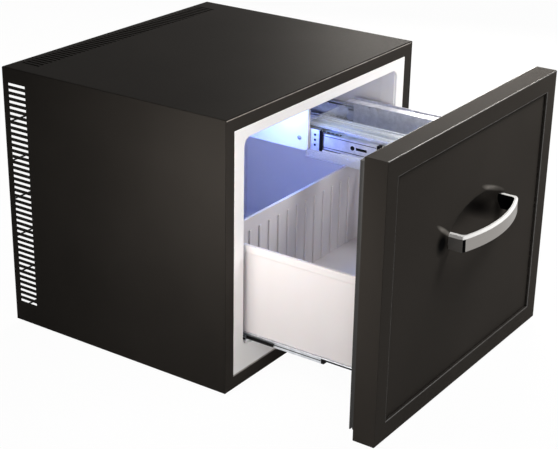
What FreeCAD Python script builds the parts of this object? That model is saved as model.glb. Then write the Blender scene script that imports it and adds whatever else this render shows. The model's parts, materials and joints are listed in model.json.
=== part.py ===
"""Drawer-type hotel minibar cabinet, as a parametric FreeCAD document.

Row frame, in millimetres: +Z up, the drawer opens towards -Y, +X to the right of someone who faces it.
The origin lies on the floor, at the middle of the ground that the cabinet covers with its drawer open.

Three groups of pieces share one layout, written as it is when the drawer is shut. The case stands at
FRONT, the middle members of the slides at MIDWAY and the drawer at DRAWER: each is the y of the plane of
the case's front edge, moved out by none, half and all of rest_open.
"""
import FreeCAD, Part
import os
import re

import Sketcher

SIZES = [
    # the case
    ("cab_w", 517, "case width"),
    ("cab_d", 426, "case depth"),
    ("cab_h", 430, "case height without feet"),
    ("foot_h", 5, "height of the feet"),
    ("foot_r", 11, "radius of a foot"),
    ("foot_inset", 34, "foot centre from the case's edges"),
    ("steel", 1, "sheet steel of the case"),
    ("frame_w", 22, "width of the black front frame"),
    ("frame_t", 14, "depth of the black front frame"),
    # the cavity
    ("lip_side", 23.5, "white flange beside the mouth"),
    ("lip_top", 17, "white flange above the mouth"),
    ("lip_low", 39, "white flange below the mouth"),
    ("liner_t", 2, "wall of the white liner"),
    ("mouth_r", 14, "corner radius of the cavity"),
    ("foam_back", 38, "insulation behind the cavity"),
    ("bay_d", 85, "depth of the vented space behind the bulkhead"),
    ("rail_seat_h", 5, "height of the seats under the lower slides"),
    # vents and guard
    ("slot_l", 35, "length of a vent slot"),
    ("slot_w", 4.3, "width of a vent slot"),
    ("slot_pitch", 9.4, "pitch of the vent slots"),
    ("slot_inset", 11, "vent slots from the back edge"),
    ("slot_margin", 32, "top vent row from the case's corners"),
    ("slot_low", 35, "lowest side slot above the case's lower edge"),
    ("slot_high", 22, "side slots end at least this far below the case's upper edge"),
    ("wire_d", 3, "wire of the rear guard"),
    ("wire_pitch", 64.5, "pitch of the guard's level wires"),
    ("wire_low", 17, "lowest guard wire above the base"),
    ("wire_gap", 0.3, "guard wires from the case's sheets"),
    # the hanger and the lamp
    ("hanger_x", 54, "left face of the hanger"),
    ("hanger_t", 6, "thickness of the hanger"),
    ("hanger_front", 68, "front edge of the hanger behind the front plane"),
    ("hanger_low", 286, "lower edge of the hanger above the floor"),
    ("hanger_foot", 34, "width of the hanger's flange on the ceiling"),
    ("hanger_r", 7, "rounding of the hanger's corner"),
    ("end_hole", 16, "end screws of the hanger from the ends of what they join"),
    ("lamp_w", 34, "lamp width"),
    ("lamp_l", 84, "lamp length"),
    ("lamp_h", 9, "lamp height"),
    ("lamp_wall", 1.5, "wall of the lamp's housing"),
    # slides
    ("slide_h", 35, "height of a ball slide"),
    ("slide_t", 12.7, "thickness of a ball slide"),
    ("gauge", 1.2, "steel of the slides"),
    ("ball_gap", 3.2, "room for the balls"),
    ("ball_d", 2.6, "strip of a ball cage"),
    ("slide_lip", 2.4, "lip of a slide's channel"),
    ("web_gap", 0.6, "gap between the webs of two members"),
    ("member_step", 1.4, "step between the open edges of two members"),
    ("low_len", 250, "length of a lower fixed member"),
    ("low_front", 2, "front end of the lower slides behind the front plane"),
    ("low_lead", 26.5, "how far the lower middle members lead the fixed ones"),
    ("low_inset", 9, "lower slides from the cavity's side walls"),
    ("up_front", 50, "front end of the upper slides behind the front plane"),
    ("up_back", 5, "upper slides from the cavity's back wall"),
    ("up_low", 288, "lower edge of the upper slides above the floor"),
    ("cage_len", 110, "length of a ball cage"),
    ("cage_in", 3, "outer ball cages from the slide's back"),
    ("cage_w", 5, "width of a ball cage's strip"),
    ("cage_step", 2, "inner ball cages past the outer ones"),
    ("bumper_l", 5, "length of a plastic bumper"),
    ("fixed_hole", 8, "mounting holes from a fixed member's front end"),
    ("hole_step", 8.5, "step between the mounting holes"),
    ("access_y", 44, "access hole from a middle member's front end"),
    ("access_r", 3.5, "radius of the access hole"),
    ("drawer_hole", 20, "mounting holes from a drawer member's ends"),
    # the drawer's travel
    ("rest_open", 211, "how far the drawer stands open at rest"),
    ("seal_t", 12, "thickness of the door seal"),
    ("seal_gap", 0.5, "seal to case when shut"),
    # the door
    ("door_side", 0.5, "door's edges inside the case's sides"),
    ("door_lift", 0.5, "door above the case's bottom edge"),
    ("door_drop", 2.5, "door below the case's top"),
    ("door_t", 36, "door thickness"),
    ("border_w", 29, "raised border of the door"),
    ("border_t", 5, "height of the raised border"),
    ("skin", 2.5, "wall of the door frame"),
    ("panel_t", 2, "thickness of the door panel"),
    ("back_t", 2, "thickness of the door's inner panel"),
    ("seal_w", 18, "width of the door seal"),
    ("seal_inset", 10, "seal from the door's edge"),
    ("pocket_d", 19, "depth of the rail pockets in the door's back"),
    ("pocket_gap", 3, "room around a rail in its pocket"),
    # the handle and its scoop
    ("handle_x", 25, "middle of the handle from the door's middle"),
    ("handle_z", 251.5, "middle of the handle above the case's base"),
    ("handle_rise", 3.8, "how far the handle's right screw sits above its middle, and its left one below"),
    ("handle_w", 178, "width of the handle"),
    ("handle_h", 24, "height of the handle's band"),
    ("handle_t", 4, "thickness of the handle's band"),
    ("handle_leg", 23, "how far the handle's corners stand out of the panel"),
    ("handle_bow", 18, "how far the handle's middle bows past its corners"),
    ("leg_sink", 12, "how far the handle's legs are drawn past the panel, before the scoop trims them"),
    ("screw_sink", 10.5, "heads of the handle's screws behind the panel"),
    ("screw_grip", 9, "how deep the handle's screws go into its legs"),
    ("scoop_w", 236, "width of the scoop behind the handle"),
    ("scoop_h", 92, "height of the scoop"),
    ("scoop_d", 20, "depth of the scoop"),
    ("scoop_up", 9, "scoop's middle above the handle's middle"),
    # the bin
    ("bin_front", 7, "front of the bin ahead of the front plane, when shut"),
    ("bin_clear", 25, "bin from the cavity's back wall, when shut"),
    ("bin_gap", 9, "bin's rim from the cavity's side walls"),
    ("bin_h", 143.5, "height of the bin"),
    ("bin_wall", 2.5, "wall of the bin"),
    ("bin_rim", 3, "how far the bin's rim stands out"),
    ("bin_rim_h", 12, "height of the bin's rim"),
    ("bin_r", 12, "corner radius of the bin"),
    # brackets and tray
    ("plate", 1.5, "steel of the brackets"),
    ("leg_h", 56, "height of a lower bracket's front leg"),
    ("leg_screw", 22, "screws up a bracket's front leg, the second at twice this"),
    ("tab_w", 26, "width of an upper bracket's front tab"),
    ("right_up", 16, "right bracket above its slide"),
    ("right_clear", 17, "right bracket from the cavity's back wall, when shut"),
    ("small_hole", 2, "radius of the right bracket's small hole"),
    ("large_hole", 3.6, "radius of the right bracket's large hole"),
    ("small_back", 30, "small hole from the right bracket's back end"),
    ("large_back", 46, "large hole from the right bracket's back end"),
    ("tray_clear", 4, "tray from the cavity's back wall, when shut"),
    ("tray_low", 267, "underside of the tray above the floor"),
    ("tray_wall", 2.5, "wall of the tray"),
    ("tray_h", 61, "height of the tray"),
    ("tray_rim", 8, "width of the tray's left rim"),
    ("divider_x", 26, "tray's divider from its left wall"),
    ("fit", 0.3, "clearance between pieces that only lie side by side"),
    # fasteners
    ("screw_r", 2, "radius of a screw's shank"),
    ("head_r", 3.8, "radius of a screw's head"),
    ("head_h", 2, "height of a screw's head"),
    ("hole_gap", 0.1, "clearance of a screw in its hole"),
    ("screw_end", 4, "end of a foot's screw past the sheet that it holds"),
    ("driver_gap", 4, "room around the heads of the handle's screws"),
    # the cooling unit
    ("pipe_r", 8, "radius of the cooling unit's pipes"),
    ("evap_w", 200, "width of the evaporator"),
    ("evap_h", 84, "height of the evaporator"),
    ("evap_d", 46, "depth of the evaporator"),
    ("evap_gap", 8, "evaporator from the hanger"),
    ("evap_drop", 2, "evaporator below the hanger's flange"),
    ("evap_plate", 3, "back plate of the evaporator"),
    ("stub_h", 20, "pipe's middle above the evaporator's lower edge"),
    ("fin_t", 1.2, "thickness of a fin"),
    ("fin_pitch", 14, "pitch of the evaporator's fins"),
    ("branch_r", 6, "radius of the pipes that join others from the side"),
    ("boiler_r", 11, "radius of the boiler tube"),
    ("boiler_lift", 20, "boiler tube above the bottom sheet"),
    ("jacket_w", 84, "width of the boiler's jacket"),
    ("jacket_d", 62, "depth of the boiler's jacket"),
    ("jacket_h", 200, "height of the boiler's jacket"),
    ("jacket_low", 60, "jacket above the bottom sheet"),
    ("vessel_r", 24, "radius of the absorber vessel"),
    ("vessel_l", 190, "length of the absorber vessel"),
    ("vessel_lift", 14, "vessel above the bottom sheet"),
    ("vessel_gap", 20, "vessel from the boiler's jacket"),
    ("stay_in", 20, "jacket's stay from the jacket's ends"),
    ("coil_lift", 18, "coil above the vessel"),
    ("coil_gap", 12, "coil from the boiler's jacket"),
    ("coil_w", 190, "width of the absorber coil"),
    ("coil_pitch", 38, "pitch of the absorber coil's runs"),
    ("cond_l", 260, "length of the condenser"),
    ("cond_drop", 62, "axis of the condenser below the case's top"),
    ("cond_fin", 46, "side of a condenser fin"),
    ("cond_pitch", 12, "pitch of the condenser's fins"),
    ("box_w", 84, "width of the control box"),
    ("box_h", 70, "height of the control box"),
    ("box_d", 44, "depth of the control box"),
    ("box_inset", 27.5, "control box from the case's side"),
    ("box_gap", 8, "control box from the boiler's jacket"),
    ("box_lift", 12, "control box above the bottom sheet"),
    ("inlet_w", 30, "width of the power inlet"),
    ("inlet_h", 24, "height of the power inlet"),
    ("inlet_d", 20, "depth of the power inlet"),
    ("inlet_wall", 3, "wall of the power inlet"),
    ("pin_h", 2, "thickness of an inlet pin"),
    ("pin_w", 4, "width of an inlet pin"),
    ("pin_step", 7, "outer inlet pins from the middle one"),
    ("pin_up", 2, "outer inlet pins above the inlet's middle"),
    ("pin_down", 1, "middle inlet pin below the inlet's middle"),
]

DERIVED = {
    # y of the front plane for the three groups
    "reach": "rest_open + seal_t + seal_gap + door_t - border_t + handle_leg + handle_bow",
    "FRONT": "(reach - cab_d) / 2",
    "MIDWAY": "FRONT - rest_open / 2",
    "DRAWER": "FRONT - rest_open",
    # the case
    "case_x": "cab_w / 2",
    "case_top": "foot_h + cab_h",
    "in_x": "case_x - steel",
    "in_low": "foot_h + steel",
    "in_top": "case_top - steel",
    "lip_x": "case_x - frame_w",
    "lip_z0": "foot_h + frame_w",
    "lip_z1": "case_top - frame_w",
    # the cavity
    "cavity_d": "cab_d - bay_d - steel - foam_back - liner_t",
    "cav_x": "lip_x - lip_side",
    "cav_z0": "lip_z0 + lip_low",
    "cav_z1": "lip_z1 - lip_top",
    "tub_x": "cav_x + liner_t",
    "tub_z0": "cav_z0 - liner_t",
    "tub_z1": "cav_z1 + liner_t",
    "tub_back": "cavity_d + liner_t",
    "foam_end": "tub_back + foam_back",
    "bay": "foam_end + steel",
    # slides
    "hanger_in": "hanger_x + hanger_t",
    "flange_z": "cav_z1 - hanger_t / 2",
    "up_len": "cavity_d - up_front - up_back",
    "slide_mid": "up_low + slide_h / 2",
    "mid_u": "gauge + web_gap",
    "in_u": "2 * gauge + web_gap + member_step",
    "low_x": "cav_x - low_inset",
    "low_z": "cav_z0 + rail_seat_h",
    "rail_top": "low_z + slide_t",
    "mid_v": "gauge + ball_gap",
    "in_v": "mid_v + gauge + ball_gap",
    "left_plate": "hanger_in + slide_t",
    "right_plate": "cav_x - slide_t",
    # the door, with its back on -door_y when shut
    "door_w": "cab_w - 2 * door_side",
    "door_h": "cab_h - door_lift - door_drop",
    "door_y": "seal_t + seal_gap",
    "face_y": "door_y + door_t",
    "panel_y": "face_y - border_t",
    "door_x": "door_w / 2",
    "door_z0": "foot_h + door_lift",
    "door_z1": "door_z0 + door_h",
    "grip_z": "foot_h + handle_z",
    "handle_arm": "handle_w / 2 - handle_t",
    "handle_run": "sqrt(handle_arm ^ 2 - handle_rise ^ 2)",
    "scoop_z": "grip_z + scoop_up",
    "lens_r": "((scoop_h / 2) ^ 2 + scoop_d ^ 2) / (2 * scoop_d)",
    "lens_y": "lens_r - scoop_d",
    "bow_r": "((handle_w / 2) ^ 2 + handle_bow ^ 2) / (2 * handle_bow)",
    # the bin and the tray
    "bin_back": "cavity_d - bin_clear",
    "tray_back": "cavity_d - tray_clear",
    "right_back": "cavity_d - right_clear",
    "right_holes": "up_low + slide_h + large_hole",
    "bin_x": "cav_x - bin_gap",
    "bin_z0": "rail_top + plate",
    "tray_x0": "left_plate + plate + fit",
    "tray_x1": "right_plate - plate - fit",
    "tray_top": "tray_low + tray_h",
    # the cooling unit
    "unit_y": "bay + (bay_d - steel - 2 * wire_d) / 2",
    "box_x": "in_x - box_inset - box_w",
    "box_z": "in_low + box_lift",
    "boiler_x": "box_x - box_gap - jacket_w / 2",
    "vessel_x": "boiler_x - jacket_w / 2 - vessel_gap - vessel_l",
    "vessel_z": "in_low + vessel_r + vessel_lift",
    "coil_low": "vessel_z + vessel_r + pipe_r + coil_lift",
    "coil_right": "boiler_x - jacket_w / 2 - coil_gap - pipe_r - coil_pitch / 2",
    "coil_left": "coil_right - coil_w + coil_pitch",
    "coil_r": "pipe_r - steel",
    "cond_z": "case_top - cond_drop",
    "cond_x": "boiler_x + boiler_r - cond_l",
    "inlet_x": "box_x + box_w / 2",
    "inlet_z": "box_z + box_h / 2",
    "evap_x1": "hanger_x - evap_gap",
    "evap_x0": "evap_x1 - evap_w",
    "evap_z0": "flange_z - evap_drop - evap_h",
    "stub_x": "evap_x0 + evap_w / 2",
    "stub_z": "evap_z0 + stub_h",
}

doc = FreeCAD.newDocument("minibar_cabinet")
sheet = doc.addObject("Spreadsheet::Sheet", "Sizes")
for row, (alias, number, note) in enumerate(SIZES, start=1):
    sheet.set("A%d" % row, alias)
    sheet.set("B%d" % row, str(number))
    sheet.set("C%d" % row, note)
    sheet.setAlias("B%d" % row, alias)
doc.recompute()

ALIASES = {alias for alias, _, _ in SIZES}
SLACK = 0.01  # two lengths that differ by less are the same
parts = {}


def formula(text):
    """Write a sum of named sizes as a FreeCAD expression on the sheet."""
    def word(match):
        name = match.group(0)
        if name in DERIVED:
            return "(" + formula(DERIVED[name]) + ")"
        return "Sizes." + name if name in ALIASES else name
    return re.sub(r"[A-Za-z_]\w*", word, str(text))


def value(text):
    """The number that a sum of named sizes has now."""
    return float(sheet.evalExpression(formula(text)))


def bind(obj, **sizes):
    """Tie an object's properties to sums of named sizes."""
    for path, text in sizes.items():
        obj.setExpression(path.replace("__", "."), formula(text))


def place(obj, x="0", y="0", z="0"):
    """Tie an object's place to sums of named sizes."""
    bind(obj, Placement__Base__x=x, Placement__Base__y=y, Placement__Base__z=z)


def node(obj, name):
    """Keep an object as one sub-part."""
    obj.Label = name
    parts[name] = obj
    return obj


# ---------------------------------------------------------------- Part helpers
def box(name, x, y, z):
    """A block from three (low, high) pairs."""
    obj = doc.addObject("Part::Box", name)
    for prop, (low, high) in (("Length", x), ("Width", y), ("Height", z)):
        obj.setExpression(prop, formula("(%s) - (%s)" % (high, low)))
    place(obj, x[0], y[0], z[0])
    return obj


TURN = {"x": ((0, 1, 0), 90), "y": ((1, 0, 0), -90), "z": ((0, 0, 1), 0)}


def cylinder(name, axis, radius, length, x, y, z):
    """A round bar that starts at a point and runs towards plus axis."""
    obj = doc.addObject("Part::Cylinder", name)
    bind(obj, Radius=radius, Height=length)
    way, angle = TURN[axis]
    obj.Placement = FreeCAD.Placement(FreeCAD.Vector(), FreeCAD.Rotation(FreeCAD.Vector(*way), angle))
    place(obj, x, y, z)
    return obj


def group(kind, name, members):
    """A fusion or a compound of several objects."""
    obj = doc.addObject(kind, name)
    setattr(obj, "Links" if kind == "Part::Compound" else "Shapes", members)
    return obj


def cut(name, base, tools):
    """A base with one or more tools taken away."""
    tool = tools[0] if len(tools) == 1 else group("Part::Compound", name + "_tools", tools)
    obj = doc.addObject("Part::Cut", name)
    obj.Base = base
    obj.Tool = tool
    return obj


# ---------------------------------------------------------- PartDesign helpers
PLANES = {"z": "XY_Plane", "y": "XZ_Plane", "x": "YZ_Plane"}


def new_body(name, y="FRONT"):
    """A body of one sub-part, in one of the three groups."""
    body = doc.addObject("PartDesign::Body", name)
    place(body, y=y)
    return node(body, name)


def new_sketch(body, axis, start, outlines=(), circles=()):
    """A sketch across an axis: closed outlines of points, and circles.

    A point is a pair of sums, (x, y), (x, z) or (y, z), and a third entry makes the side that starts
    there an arc of that radius, which turns the same way as the outline.
    """
    sketch = body.newObject("Sketcher::SketchObject", body.Name + "_sketch")
    plane = next(p for p in body.Origin.OriginFeatures if p.Role == PLANES[axis])
    sketch.AttachmentSupport = [(plane, "")]
    sketch.MapMode = "FlatFace"
    sketch.setExpression("AttachmentOffset.Base.z", formula("-(%s)" % start if axis == "y" else start))
    for outline in outlines:
        draw_outline(sketch, outline)
    for u, v, radius in circles:
        centre = FreeCAD.Vector(value(u), value(v), 0)
        side = sketch.addGeometry(Part.Circle(centre, FreeCAD.Vector(0, 0, 1), value(radius)))
        tie(sketch, Sketcher.Constraint("Radius", side, value(radius)), radius)
        pin(sketch, side, 3, u, v)
    return sketch


def tie(sketch, constraint, text):
    """Add a dimension to a sketch and bind it."""
    index = sketch.addConstraint(constraint)
    sketch.setExpression("Constraints[%d]" % index, formula(text))


def pin(sketch, side, end, u, v):
    """Hold one point of a sketch at two named distances from the origin."""
    tie(sketch, Sketcher.Constraint("DistanceX", -1, 1, side, end, value(u)), u)
    tie(sketch, Sketcher.Constraint("DistanceY", -1, 1, side, end, value(v)), v)


def arc_between(start, end, radius):
    """An anticlockwise arc of a given radius from start to end."""
    chord = end - start
    middle = start + chord * 0.5
    across = FreeCAD.Vector(-chord.y, chord.x, 0).normalize()
    centre = middle + across * (radius ** 2 - (chord.Length / 2) ** 2) ** 0.5
    crown = centre - across * radius
    return Part.Arc(start, crown, end)


def draw_outline(sketch, outline):
    """Draw one closed outline, side by side, and pin each of its corners."""
    corners = [FreeCAD.Vector(value(point[0]), value(point[1]), 0) for point in outline]
    sides = []
    for index, point in enumerate(outline):
        start, end = corners[index], corners[(index + 1) % len(corners)]
        if len(point) == 2:
            sides.append((sketch.addGeometry(Part.LineSegment(start, end)), 1, 2))
            continue
        bulge, text = value(point[2]), point[2]
        if bulge > 0:
            side = sketch.addGeometry(arc_between(start, end, bulge))
            sides.append((side, 1, 2))
        else:
            text = "-(%s)" % text
            side = sketch.addGeometry(arc_between(end, start, -bulge))
            sides.append((side, 2, 1))
        tie(sketch, Sketcher.Constraint("Radius", side, abs(bulge)), text)
    for index, (side, first, last) in enumerate(sides):
        follower, begin, _ = sides[(index + 1) % len(sides)]
        sketch.addConstraint(Sketcher.Constraint("Coincident", side, last, follower, begin))
    for (side, first, _), point in zip(sides, outline):
        pin(sketch, side, first, point[0], point[1])


def rectangle(u0, u1, v0, v1):
    """A rectangle's corners."""
    return [(u0, v0), (u1, v0), (u1, v1), (u0, v1)]


def rounded(u0, u1, v0, v1, r):
    """A rectangle with round corners."""
    return [("%s + %s" % (u0, r), v0), ("%s - (%s)" % (u1, r), v0, r), (u1, "%s + %s" % (v0, r)),
            (u1, "%s - (%s)" % (v1, r), r), ("%s - (%s)" % (u1, r), v1), ("%s + %s" % (u0, r), v1, r),
            (u0, "%s - (%s)" % (v1, r)), (u0, "%s + %s" % (v0, r), r)]


def pad(body, axis, start, length, outlines=(), circles=()):
    """Add material from a sketch, towards plus axis."""
    sketch = new_sketch(body, axis, start, outlines, circles)
    feature = body.newObject("PartDesign::Pad", body.Name + "_pad")
    feature.Profile = sketch
    feature.Reversed = axis == "y"
    bind(feature, Length=length)
    return feature


def pocket(body, axis, start, length, outlines=(), circles=()):
    """Take material away from a sketch, towards plus axis, and make sure that some went."""
    doc.recompute()
    before = body.Shape.Volume
    sketch = new_sketch(body, axis, start, outlines, circles)
    feature = body.newObject("PartDesign::Pocket", body.Name + "_pocket")
    feature.Profile = sketch
    feature.Reversed = axis != "y"
    bind(feature, Length=length)
    doc.recompute()
    if not body.Shape.Volume < before:
        raise RuntimeError("%s took nothing away" % feature.Name)
    return feature


def repeat(body, feature, axis_role, count, pitch):
    """Repeat a feature along one of the body's axes."""
    pattern = body.newObject("PartDesign::LinearPattern", body.Name + "_row")
    pattern.Originals = [feature]
    axis = next(a for a in body.Origin.OriginFeatures if a.Role == axis_role)
    pattern.Direction = (axis, [""])
    pattern.Mode = "Spacing"
    bind(pattern, Occurrences=count, Offset=pitch)
    body.Tip = pattern
    return pattern


def round_edges(body, radius, wanted):
    """Fillet the edges of a body that a test picks."""
    doc.recompute()
    shape = body.Shape.copy()
    shape.Placement = FreeCAD.Placement()
    names = ["Edge%d" % (i + 1) for i, edge in enumerate(shape.Edges) if wanted(edge)]
    if not names:
        raise RuntimeError("%s has no such edge" % body.Name)
    base = body.Tip
    feature = body.newObject("PartDesign::Fillet", body.Name + "_fillet")
    feature.Base = (base, names)
    bind(feature, Radius=radius)
    return feature


def runs(edge, axis):
    """True for a straight edge along one axis."""
    if len(edge.Vertexes) < 2 or edge.Curve.TypeId != "Part::GeomLine":
        return False
    way = edge.Vertexes[1].Point - edge.Vertexes[0].Point
    return way.Length - abs(getattr(way, axis)) < SLACK


def near(number, text):
    """True where a number is the value of a sum of named sizes."""
    return abs(number - value(text)) < SLACK


# ------------------------------------------------------------------- the case
def make_wrap():
    """Folded steel over the top and both sides, with vent slots beside the back edge."""
    body = new_body("cabinet_wrap")
    outline = [("-case_x", "foot_h"), ("-in_x", "foot_h"), ("-in_x", "in_top"), ("in_x", "in_top"),
               ("in_x", "foot_h"), ("case_x", "foot_h"), ("case_x", "case_top"), ("-case_x", "case_top")]
    pad(body, "y", "0", "cab_d", [outline])
    slot_y = "cab_d - slot_inset"
    low = "foot_h + slot_low"
    side = rectangle(slot_y + " - slot_l", slot_y, low, low + " + slot_w")
    first = pocket(body, "x", "-case_x - steel", "cab_w + 2 * steel", [side])
    rows = "floor((cab_h - slot_low - slot_high - slot_w) / slot_pitch) + 1"
    repeat(body, first, "Z_Axis", rows, "slot_pitch")
    left = "-case_x + slot_margin"
    top = rectangle(left, left + " + slot_w", slot_y + " - slot_l", slot_y)
    first = pocket(body, "z", "in_top - steel", "3 * steel", [top])
    repeat(body, first, "X_Axis", "floor((cab_w - 2 * slot_margin) / slot_pitch)", "slot_pitch")


def foot_centres():
    """Where the four feet stand, in the case's layout."""
    for x in ("-case_x + foot_inset", "case_x - foot_inset"):
        for y in ("foot_inset", "cab_d - foot_inset"):
            yield x, y


def make_base():
    """The bottom sheet, the feet under it and their screws."""
    body = new_body("base_plate")
    outline = rectangle("-in_x", "in_x", "0", "cab_d")
    holes = [(x, y, "screw_r + hole_gap") for x, y in foot_centres()]
    pad(body, "z", "foot_h", "steel", [outline], holes)
    feet, screws = [], []
    for index, (x, y) in enumerate(foot_centres()):
        y = "FRONT + " + y
        bore = cylinder("foot_bore_%d" % index, "z", "screw_r + hole_gap", "foot_h", x, y, "0")
        sink = cylinder("foot_sink_%d" % index, "z", "head_r + hole_gap", "foot_h / 2", x, y, "0")
        puck = cylinder("foot_puck_%d" % index, "z", "foot_r", "foot_h", x, y, "0")
        feet.append(cut("foot_%d" % index, puck, [bore, sink]))
        shank = cylinder("foot_shank_%d" % index, "z", "screw_r", "foot_h / 2 + steel + screw_end", x, y,
                         "foot_h / 2")
        head = cylinder("foot_head_%d" % index, "z", "head_r", "head_h", x, y, "foot_h / 2 - head_h")
        screws.append(group("Part::MultiFuse", "foot_screw_%d" % index, [shank, head]))
    node(group("Part::Compound", "feet", feet), "feet")
    node(group("Part::Compound", "foot_screws", screws), "foot_screws")


def make_front_frame():
    """The black frame around the white flange."""
    body = new_body("front_frame")
    pad(body, "y", "0", "frame_t", [rectangle("-in_x", "in_x", "in_low", "in_top"),
                                    rectangle("-lip_x", "lip_x", "lip_z0", "lip_z1")])


def make_liner():
    """The white cavity: flange, tub, seats for the lower slides and the cooling pipe's hole."""
    body = new_body("inner_liner")
    pad(body, "y", "0", "liner_t", [rectangle("-lip_x", "lip_x", "lip_z0", "lip_z1")])
    pad(body, "y", "0", "tub_back", [rounded("-tub_x", "tub_x", "tub_z0", "tub_z1", "mouth_r + liner_t")])
    pocket(body, "y", "0", "cavity_d", [rounded("-cav_x", "cav_x", "cav_z0", "cav_z1", "mouth_r")])
    for sign in ("-", ""):
        far, close = sign + "low_x", "%s(low_x - slide_h)" % sign
        low, high = (far, close) if sign else (close, far)
        pad(body, "y", "low_front", "low_len",
            [rectangle(low, high, "cav_z0 - liner_t / 2", "low_z")])
    pocket(body, "y", "cavity_d - liner_t", "3 * liner_t", circles=[("stub_x", "stub_z", "pipe_r + fit")])


def make_insulation():
    """Foam between the case and the liner, and the steel bulkhead behind it."""
    block = box("foam_block", ("-in_x", "in_x"), ("FRONT + liner_t", "FRONT + foam_end"),
                ("in_low", "in_top"))
    tub = box("foam_tub", ("-tub_x", "tub_x"), ("FRONT", "FRONT + tub_back"), ("tub_z0", "tub_z1"))
    ring = box("foam_ring", ("-in_x", "in_x"), ("FRONT", "FRONT + frame_t"), ("in_low", "in_top"))
    keep = box("foam_keep", ("-lip_x", "lip_x"), ("FRONT", "FRONT + frame_t"), ("lip_z0", "lip_z1"))
    frame = cut("foam_frame", ring, [keep])
    pipe = cylinder("foam_pipe", "y", "pipe_r + fit", "foam_back + 2 * steel", "stub_x",
                    "FRONT + tub_back - steel", "stub_z")
    holes = [cylinder("foam_screw_%d" % index, "z", "head_r", "steel + screw_end + fit", x, "FRONT + " + y,
                      "foot_h") for index, (x, y) in enumerate(foot_centres())]
    node(cut("insulation_foam", block, [tub, frame, pipe] + holes), "insulation_foam")
    body = new_body("rear_bulkhead")
    pad(body, "y", "foam_end", "steel", [rectangle("-in_x", "in_x", "in_low", "in_top")],
        [("stub_x", "stub_z", "pipe_r + fit")])


def make_guard():
    """Welded wires across the open back: level ones, and upright ones that lie against them."""
    wires = []
    back = "FRONT + cab_d - wire_d / 2 - steel"
    span = "in_x - wire_gap"
    count = int(value("(cab_h - wire_low) / wire_pitch")) + 1
    for index in range(count):
        wires.append(cylinder("guard_level_%d" % index, "x", "wire_d / 2", "2 * (%s)" % span, "-(%s)" % span,
                              back, "foot_h + wire_low + %d * wire_pitch" % index))
    for index, x in enumerate(("-(%s) + wire_d" % span, "0", span + " - wire_d")):
        wires.append(cylinder("guard_post_%d" % index, "z", "wire_d / 2", "in_top - in_low - 2 * wire_gap",
                              x, back + " - wire_d", "in_low + wire_gap"))
    node(group("Part::Compound", "rear_guard", wires), "rear_guard")


def make_hanger():
    """The panel under the cavity's ceiling that carries the upper left slide, and the lamp beside it."""
    body = new_body("slide_hanger")
    left = "hanger_in - hanger_foot"
    outline = [(left, "flange_z"), ("hanger_x", "flange_z"), ("hanger_x", "hanger_low"),
               ("hanger_in", "hanger_low"), ("hanger_in", "cav_z1"), (left, "cav_z1")]
    pad(body, "y", "hanger_front", "cavity_d - hanger_front", [outline])
    round_edges(body, "hanger_r", lambda e: runs(e, "x") and near(e.CenterOfMass.z, "hanger_low")
                and near(e.CenterOfMass.y, "hanger_front"))
    holes = [("hanger_front + " + y, "slide_mid", "screw_r + hole_gap") for y in HANGER_SCREWS]
    pocket(body, "x", "hanger_x - steel", "hanger_t + 2 * steel", circles=holes)
    screws = []
    for index, y in enumerate(HANGER_SCREWS):
        y = "FRONT + hanger_front + " + y
        shank = cylinder("hanger_shank_%d" % index, "x", "screw_r", "hanger_t + gauge", "hanger_x", y,
                         "slide_mid")
        head = cylinder("hanger_head_%d" % index, "x", "head_r", "head_h", "hanger_x - head_h", y,
                        "slide_mid")
        screws.append(group("Part::MultiFuse", "hanger_screw_%d" % index, [shank, head]))
    node(group("Part::Compound", "hanger_screws", screws), "hanger_screws")


HANGER_SCREWS = ("end_hole", "(up_len - hanger_front + up_front) / 2",
                 "up_len - hanger_front + up_front - end_hole")


def make_lamp():
    """The interior lamp: a housing on the ceiling and its lens."""
    x = ("hanger_in - hanger_foot - lamp_w - lamp_wall", "hanger_in - hanger_foot - lamp_wall")
    y = ("FRONT + hanger_front - lamp_wall", "FRONT + hanger_front + lamp_l")
    z = ("cav_z1 - lamp_h", "cav_z1")
    shell = box("lamp_shell", x, y, z)
    hollow = box("lamp_hollow", (x[0] + " + lamp_wall", x[1] + " - lamp_wall"),
                 (y[0] + " + lamp_wall", y[1] + " - lamp_wall"), (z[0], z[1] + " - lamp_wall"))
    node(cut("lamp_housing", shell, [hollow]), "lamp_housing")
    lens = box("lamp_lens", (x[0] + " + lamp_wall + hole_gap", x[1] + " - lamp_wall - hole_gap"),
               (y[0] + " + lamp_wall + hole_gap", y[1] + " - lamp_wall - hole_gap"),
               (z[0], z[0] + " + lamp_wall"))
    node(lens, "lamp_lens")


# ----------------------------------------------------------------- the slides
def channel(u0, u1, v0, v1, lip):
    """A C-shaped section: its web lies at u0 and its lips turn in at u1, or the other way round."""
    web, edge = (u1, u0) if lip == "towards u0" else (u0, u1)
    turn = "-" if lip == "towards u0" else "+"
    back = "+" if lip == "towards u0" else "-"
    inside, lip_in = "%s %s gauge" % (web, turn), "%s %s gauge" % (edge, back)
    low, high = "%s + gauge" % v0, "%s - gauge" % v1
    lip_low, lip_high = "%s + slide_lip" % v0, "%s - slide_lip" % v1
    return [(web, v0), (edge, v0), (edge, lip_low), (lip_in, lip_low), (lip_in, low), (inside, low),
            (inside, high), (lip_in, high), (lip_in, lip_high), (edge, lip_high), (edge, v1), (web, v1)]


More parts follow.
